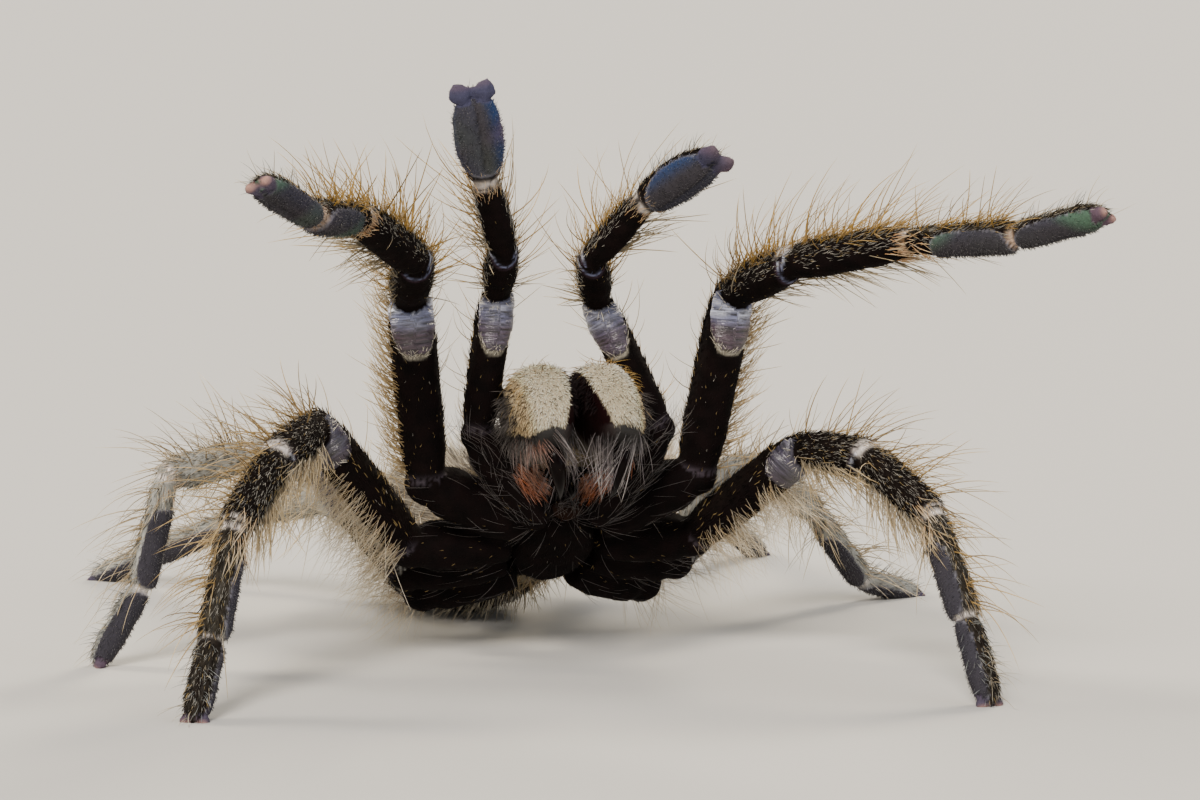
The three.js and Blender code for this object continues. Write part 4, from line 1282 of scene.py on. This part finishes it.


# grey bristles that hang over the fangs in clumps, with a blush of orange on one side and painted silver
# highlights on the palest clumps
def hangingTones(info):
    clump = ramp(softNoise(info["points"], 1.6, 31) + chance.normal(0, 0.25, len(info["t"])), -0.6, 0.7)
    blush = hump(info["x"], -4.7, 0.55)
    return (mixed(info, "velvet", "mauveBristle", 0.7 * clump, "orange", 0.4 * blush),
            # the silver on the tips of the palest clumps is a painted highlight
            mixed(info, "mauveBristle", "mauveTip", 0.1 + 0.9 * clump, "silver", 0.5 * clump ** 2,
                  "orangeTip", 0.35 * blush))


hanging = coat("grey_coat", goldenSetae, length=(2.0, 4.2), radius=0.031, rise=30, riseSpread=12, spread=9,
               curl=0.12, rings=6, wander=0.07, vary=0.3, density=9.5, fall=(0, 0.12, -0.3),
               tones=hangingTones,
               comb=lambda info, normals: info["x"][:, None] * across * -0.26 + np.array([0, -0.1, -1]),
               lengthShare=lambda info: 1 - 0.45 * ramp(np.abs(info["x"]), 3.2, 4.6))
brow = hump(faceSpots["jawArch"], 10.9, 0.8) * (backward < 0.1) * onJaw * (1 - pileOn) * \
    ramp(jawOut, -2.4, -1.4)
growCoat("jaw_bristles", hanging, brow)


# loose golden hairs over the crown of the jaws, and the dark edge that closes the gap over the groove
browGold = coat("golden_bristle", goldenSetae, length=(0.7, 1.5), radius=0.027, rise=58, riseSpread=16,
                spread=46, curl=0.7, rings=5, wander=0.14, density=2.4,
                tones=(("goldenRoot", "golden", 0.6), ("goldenTip", "golden", 0.5)))
crown = ramp(faceInfo["height"], 13.6, 14.6) * (backward > -0.25) \
    + 0.16 * ramp(jawOut, 1.7, 2.2) * ramp(faceInfo["height"], 11.5, 13)
growCoat("jaw_crown", browGold, onJaw * (jawOut > -1.9) * crown)
jawEdge = coat("black_velvet", velvetSetae, length=(0.4, 0.9), radius=0.032, rise=48, riseSpread=14,
               spread=30, curl=0.2, rings=3, density=18,
               tones=(("velvet",), ("velvetBrown", "mauveBristle", 0.3)))
growCoat("jaw_edge", jawEdge, onJaw * ramp(-jawOut, 1.7, 2.1) * ramp(faceInfo["height"], 12.4, 13.4))


# orange fringes on both sides of the mouth: an oval tuft on the right, a rising arc on the left
def mouthArc(info):
    # the height of the middle of the fringe at each distance from the midline
    return 5.7 + 0.62 * np.clip(np.abs(info["x"]) - 1.9, 0, 4) * np.where(info["side"] > 0, 1, 0.6)


def mouthTones(info):
    # pale pink on a few random tips and along the upper edge of the fringe is painted highlight
    pick, pink = chance.random((2, len(info["t"])))
    upper = ramp(info["height"] - mouthArc(info), -0.1, 0.5)
    return (mixed(info, "maroon", "orange", 0.7 * pick),
            mixed(info, "orange", "maroon", 0.4 * (1 - pick), "orangeTip", 0.8 * pink ** 3 + 0.5 * upper))


mouth = coat("orange_fringe", fringeSetae, length=(0.7, 1.4), radius=0.028, rise=26, riseSpread=10,
             spread=12, curl=0.22, rings=4, wander=0.06, density=36, vary=0.3, tones=mouthTones,
             comb=lambda info, normals: -info["side"][:, None] * across * 0.7 + np.array([0, -0.3, -0.8]))
fromMiddle, fromLevel = np.abs(faceInfo["x"]) - 3.8, faceInfo["height"] - 6.8
oval = (0.75 * fromMiddle + 0.66 * fromLevel) ** 2 / 3.4 + (0.66 * fromMiddle - 0.75 * fromLevel) ** 2 / 1.3
arc = np.abs(faceInfo["height"] - mouthArc(faceInfo)) / (0.9 - 0.1 * np.clip(fromMiddle, 0, 4))
arc = arc + (fromMiddle > 1.4)
growCoat("mouth_fringe", mouth, (faceKind == "palp") * (faceBone == "hip")
         * ramp(skinSurface["normal"] @ forward, 0.05, 0.3)
         * ramp(1 - np.where(faceInfo["side"] < 0, oval, arc), 0, 0.3))


# the body: fine bristles and short nap beneath, longer grey brown hair over the abdomen
under = coat("grey_coat", goldenSetae, length=(1.1, 2.5), radius=0.02, rise=24, riseSpread=12, spread=20,
             curl=0.6, rings=5, wander=0.06, density=2.2, vary=0.3,
             tones=(("velvetBrown",), ("mauveBristle", "silver", 0.2)))
growCoat("underside_bristles", under, (faceBone == "hip") * np.where(faceKind == "palp", 1.5, 0.16)
         + (faceBone == "sternum") * 0.12 + (faceBone == "labium") * 4)
bellyCoat = coat("black_velvet", velvetSetae, length=(0.3, 0.6), radius=0.034, rise=22, spread=18, curl=0.1,
                 rings=2, density=12, tones=shortTones)
growCoat("coat_underside", bellyCoat, isBone(faceInfo, "sternum", "labium"))


def flankTones(rootLight, tipLight, paler, often, share):
    # the skin's markings again, with a paler tip on some of the hairs
    def tones(info):
        picked = chance.random(len(info["t"])) < often
        return tint(info) * rootLight, layered(tint(info) * tipLight, paler, picked * share)
    return tones


abdomenCoat = coat("grey_coat", velvetSetae, length=(0.9, 1.7), radius=0.044, rise=22, spread=14, curl=0.12,
                   rings=3, vary=0.2, density=10, tones=flankTones(0.8, 1.2, "flankGrey", 0.2, 0.6))
abdomenLong = dict(abdomenCoat, slot="pale_hair", hair=goldenSetae, length=(2.2, 4.0), radius=0.042,
                   rise=44, riseSpread=12, rings=4, curl=0.25, density=1.5,
                   tones=(("greyBristle", "goldenRoot", 0.4), ("greyTip", "straw", 0.35)))
growCoat("coat_abdomen", abdomenCoat, isBone(faceInfo, "abdomen", "pedicel"))
growCoat("bristles_abdomen", abdomenLong, isBone(faceInfo, "abdomen"))


# The shield over the front body: a separate plate with a sharp rim, a pit and grooves that fan from it.
def shieldPlace(x, y, z):
    c = carapace
    wide = x * (c["halfWidth"] - c["inset"]) * (1 - c["frontTaper"] * np.maximum(0, y))
    f = np.minimum(y * (np.where(y > 0, c["frontReach"], c["rearReach"]) - c["inset"]), c["frontEdge"] - 0.1)
    high = np.maximum(0, z)
    headRise = 0.7 * hump(wide, 0, 4.5) * hump(f, 5.5, 4)
    top = c["dome"] * high ** 0.72 + headRise * high - c["inset"]
    return bodyPoint(wide, f, c["rim"] + np.where(z > 0, top, z * 0.5))


shieldMake = {"voxel": 0.17, "smoothing": 4}


def makeShield():
    shells.clear()
    addBall(shieldPlace, 60, 110, "carapace")
    t = tubercle
    half = [t[key] - t["inset"] for key in ("halfWidth", "halfLength", "height")]
    bodyBall({"half": half, "f": t["f"], "u": t["u"]}, 22, 36, "carapace")
    shield, mesh = remeshed("carapace_shield", **shieldMake)
    points = readPoints(mesh, "co")
    label, segments = np.full(len(points), partNames.index("carapace")), np.zeros(len(points), int)
    info = describe(points, label, segments)
    x, f, c = info["x"], info["f"], carapace
    reach, around = np.hypot(x, f - c["foveaAt"]), np.arctan2(x, f - c["foveaAt"])
    pit = c["foveaDepth"] * hump(x, 0, 1.2) * hump(f, c["foveaAt"], 0.55)
    fan = np.cos(around * c["grooves"] / 2) ** 8 * ramp(reach, 1.4, 3.0) * fade(reach, 6.5, 9)
    neck = hump(np.abs(x) - 1.2 - 0.42 * np.maximum(0, f - c["foveaAt"]), 0, 0.5)
    neck = neck * ramp(f, -1, 1) * fade(f, 5, 8)
    top = ramp(info["u"], c["rim"] + 0.2, c["rim"] + 1.2)
    sink = top * (pit + c["grooveDepth"] * np.maximum(fan, neck))
    info["points"] = points - readPoints(mesh, "normal") * sink[:, None]
    movePoints(mesh, info["points"])
    setTint(mesh, tint(info))
    setTint(mesh, np.zeros((len(points), 3)), "finish")
    mesh.materials.append(cuticle)
    settle(shield, "olive_coat", "carapace")
    return surfaceOf(mesh, label, segments)


shieldSurface = makeShield()
shieldInfo = shieldSurface["info"]
aboveRim = ramp(shieldInfo["u"], carapace["rim"] - 0.1, carapace["rim"] + 0.3)
atRim = hump(shieldInfo["u"], carapace["rim"] + 0.1, 0.35) + 0.12 * aboveRim
shieldCoat = coat("olive_coat", velvetSetae, length=(0.45, 0.9), radius=0.034, rise=14, spread=12,
                  curl=0.06, rings=2, density=14, tones=flankTones(0.8, 1.25, "straw", 0.25, 0.5))
rimCoat = coat("golden_bristle", goldenSetae, length=(1.2, 2.6), radius=0.036, rise=26, riseSpread=12,
               spread=20, curl=0.2, rings=4, density=6,
               tones=(("goldenRoot", "buffFringe", 0.5), ("goldenTip", "greyTip", 0.3)))
growCoat("coat_shield", shieldCoat, aboveRim, shieldSurface)
growCoat("fringe_shield", rimCoat, atRim * (shieldInfo["f"] < 8.2), shieldSurface)


# Eyes, in two rows of four on the tubercle: place across, place forward, half width, half length.
eyeRows = {
    "front_median": (0.46, 0.5, 0.29, 0.29), "front_lateral": (1.14, 0.42, 0.34, 0.25),
    "rear_median": (0.74, -0.3, 0.2, 0.17), "rear_lateral": (1.22, -0.32, 0.27, 0.2),
}


def makeGlossy(name, base, roughness, coating, grain, specular=0.5):
    # grain is the size of the slow change of shade, in patches for each metre
    material, tree, shader = newMaterial(name, IOR=1.56, Roughness=roughness, Coat_Weight=coating,
                                         Coat_Roughness=0.05, Specular_IOR_Level=specular)
    cloud = noise(tree, objectPlace(tree), grain, 3.0)
    ramped = addNode(tree, "ShaderNodeValToRGB", {}, {"Fac": cloud})
    for stop, hexColour in zip(ramped.color_ramp.elements, base):
        stop.color = (*linear(hexColour), 1)
    tree.links.new(ramped.outputs["Color"], shader.inputs["Base Color"])
    bumped(tree, shader, cloud, 0.15, 0.00004)
    return material


# a clear lens over dark pigment: almost black, with a wet highlight
eyeLens = makeGlossy("eyeLens", ("#060506", "#1c1512"), 0.06, 1.0, 900.0)
# polished horn: black, with dark red where it thins
fangHorn = makeGlossy("fangHorn", ("#030202", "#0c0404"), 0.25, 0.0, 600.0, 0.06)
clawHorn = makeGlossy("clawHorn", ("#120c0a", "#33211a"), 0.28, 0.3, 1500.0)


def lastShell():
    return shells[-1]["points"], shells[-1]["faces"]


def makeEyes():
    t = tubercle
    for sideName, side in (("left", 1), ("right", -1)):
        for row, (x, ahead, halfWidth, halfLength) in eyeRows.items():
            level = math.sqrt(1 - (x / t["halfWidth"]) ** 2 - (ahead / t["halfLength"]) ** 2)
            outward = unit((side * x / t["halfWidth"] ** 2, ahead / t["halfLength"] ** 2,
                            level / t["height"]))
            wide = unit(np.cross((0, 1, 0), outward))
            long = np.cross(outward, wide)

            def place(px, py, pz):
                local = px[..., None] * halfWidth * wide + py[..., None] * halfLength * long \
                    + pz[..., None] * halfLength * 0.8 * outward
                return bodyPoint(side * x + local[..., 0], t["f"] + ahead + local[..., 1],
                                 t["u"] + t["height"] * level + local[..., 2])

            addBall(place, 24, 36, "carapace")
            name = "eye_" + row + "_" + sideName
            mesh = meshOf(name + "_lens", *lastShell())
            mesh.materials.append(eyeLens)
            settle(newObject(name + "_lens", mesh), "eye_lens", name)


makeEyes()


def hornShell(line, radii, sides):
    # a curved tapering horn along a line of points
    ways = unit(np.gradient(line, axis=0))
    widthWay = unit(np.cross(ways, np.roll(across, 1) + across * 0.01))
    depthWay = np.cross(widthWay, ways)
    wide, deep = ringShape(sides)
    addShell(line[:, None] + radii[:, None, None] * (wide[None, :, None] * widthWay[:, None]
                                                     + deep[None, :, None] * depthWay[:, None]), "carapace")
    return lastShell()


def curveThrough(points, count):
    # quadratic bezier
    a, b, c = points
    t = np.linspace(0, 1, count)[:, None]
    return (1 - t) ** 2 * a + 2 * t * (1 - t) * b + t ** 2 * c


fang = {"base": (2.8, 15.8, -1.6), "bend": (2.65, 15.3, -4.7), "tip": (2.0, 11.0, -3.2), "radius": 0.78,
        "rings": 48, "sides": 28}


def makeFangs():
    for sideName, side in (("left", 1), ("right", -1)):
        knots = [jawPoint(side * fang[key][0], *fang[key][1:]) for key in ("base", "bend", "tip")]
        t = np.linspace(0, 1, fang["rings"])
        radii = fang["radius"] * (1 - 0.94 * t ** 1.5) * np.minimum(1, 0.75 + 2.5 * t)
        horn = hornShell(curveThrough(knots, fang["rings"]), radii, fang["sides"])
        mesh = meshOf("fang_horn_" + sideName, *horn)
        mesh.materials.append(fangHorn)
        settle(newObject("fang_horn_" + sideName, mesh), "fang_horn", "fang_" + sideName)


makeFangs()


# two small hooked claws between the brushes of each foot
claw = {"out": 0.2, "behind": 0.85, "above": 0.35, "length": 0.85, "arch": 0.15, "radius": 0.09, "hook": 0.45,
        "rings": 14, "sides": 10}


def makeClaws():
    points, faces, start = [], [], 0
    radii = claw["radius"] * (1 - 0.85 * np.linspace(0, 1, claw["rings"]) ** 1.3)
    for limb in limbs.values():
        way, back, wide = (limb[key][-1] for key in ("ways", "backs", "wides"))
        for hand in (1, -1):
            root = limb["joints"][-1] + hand * claw["out"] * wide
            root = root - claw["behind"] * way + claw["above"] * back
            line = curveThrough([root, root + claw["length"] * 0.7 * way + claw["arch"] * back,
                                 root + claw["length"] * (way - claw["hook"] * back)], claw["rings"])
            line[:, 2] = np.maximum(line[:, 2], stance["floorGap"] + claw["radius"])
            clawPoints, clawFaces = hornShell(line, radii, claw["sides"])
            points.append(clawPoints)
            faces.append(clawFaces + start)
            start += len(clawPoints)
    mesh = meshOf("claws", np.concatenate(points), np.concatenate(faces))
    mesh.materials.append(clawHorn)
    settle(newObject("claws", mesh), "fang_horn")


makeClaws()
print("shield, eyes, fangs and claws made")


view = {"azimuth": -16, "elevation": 6, "distance": 330, "lens": 118.8, "aim": (3.917, 12.333)}


def standing(right, up, back, spot):
    # a camera or lamp at a spot in mm, looking away from its back
    return Matrix([[right[i], up[i], back[i], spot[i] * mm] for i in range(3)] + [[0, 0, 0, 1]])


def makeCamera():
    a, e = math.radians(view["azimuth"]), math.radians(view["elevation"])
    back = headed(1, a, e)
    right = np.array([math.cos(a), math.sin(a), 0])
    up = np.cross(back, right)
    target = bodyMiddle + right * view["aim"][0] + up * view["aim"][1]
    camera = newObject("camera", bpy.data.cameras.new("camera"))
    camera.matrix_world = standing(right, up, back, target + back * view["distance"])
    camera.data.lens = view["lens"]
    camera.data.sensor_width = 36
    camera.data.clip_start = 0.005
    camera.data.clip_end = 100
    bpy.context.scene.camera = camera


lamps = {    # where each soft lamp stands, its width in degrees and its watts for each square metre
    "key": {"place": (-260, -420, 420), "width": 22, "watts": 4.4, "colour": "#fff5ea"},
    "fill": {"place": (420, -300, 200), "width": 50, "watts": 0.75, "colour": "#eaf1ff"},
    "rimLeft": {"place": (-330, 300, 260), "width": 18, "watts": 2.6, "colour": "#fff0d8"},
    "rimRight": {"place": (320, 260, 280), "width": 18, "watts": 2.8, "colour": "#fff0d8"},
}
surroundings = {"colour": "#d4d6d8", "strength": 0.6}


def makeLight():
    for name, lamp in lamps.items():
        light = bpy.data.lights.new(name, "SUN")
        light.angle = math.radians(lamp["width"])
        light.energy = lamp["watts"]
        light.color = linear(lamp["colour"])
        place = np.array(lamp["place"], float)
        back = unit(place)
        right = unit(np.cross((0, 0, 1), back))
        newObject(name, light).matrix_world = standing(right, np.cross(back, right), back, place)
    world = bpy.data.worlds.new("studio")
    world.use_nodes = True
    background = world.node_tree.nodes["Background"]
    background.inputs["Color"].default_value = (*linear(surroundings["colour"]), 1)
    background.inputs["Strength"].default_value = surroundings["strength"]
    bpy.context.scene.world = world


board = {"colour": "#c2c1bd", "half": 60000}


def makeFloor():
    # matt painted board, plain and pale
    material, tree, shader = newMaterial("mattBoard", Roughness=0.85)
    shader.inputs["Base Color"].default_value = (*linear(board["colour"]), 1)
    corners = [(x * board["half"], y * board["half"], 0) for x, y in ((-1, -1), (1, -1), (1, 1), (-1, 1))]
    mesh = meshOf("floor", np.array(corners, float), np.array([[0, 1, 2, 3]]))
    mesh.materials.append(material)
    newObject("floor", mesh)


makeCamera()
makeLight()
makeFloor()
print("camera, lamps and floor made")

flesh = [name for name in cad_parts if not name.startswith(("eye_", "fang_", "carapace"))]
settle(skin, "black_velvet", *flesh)
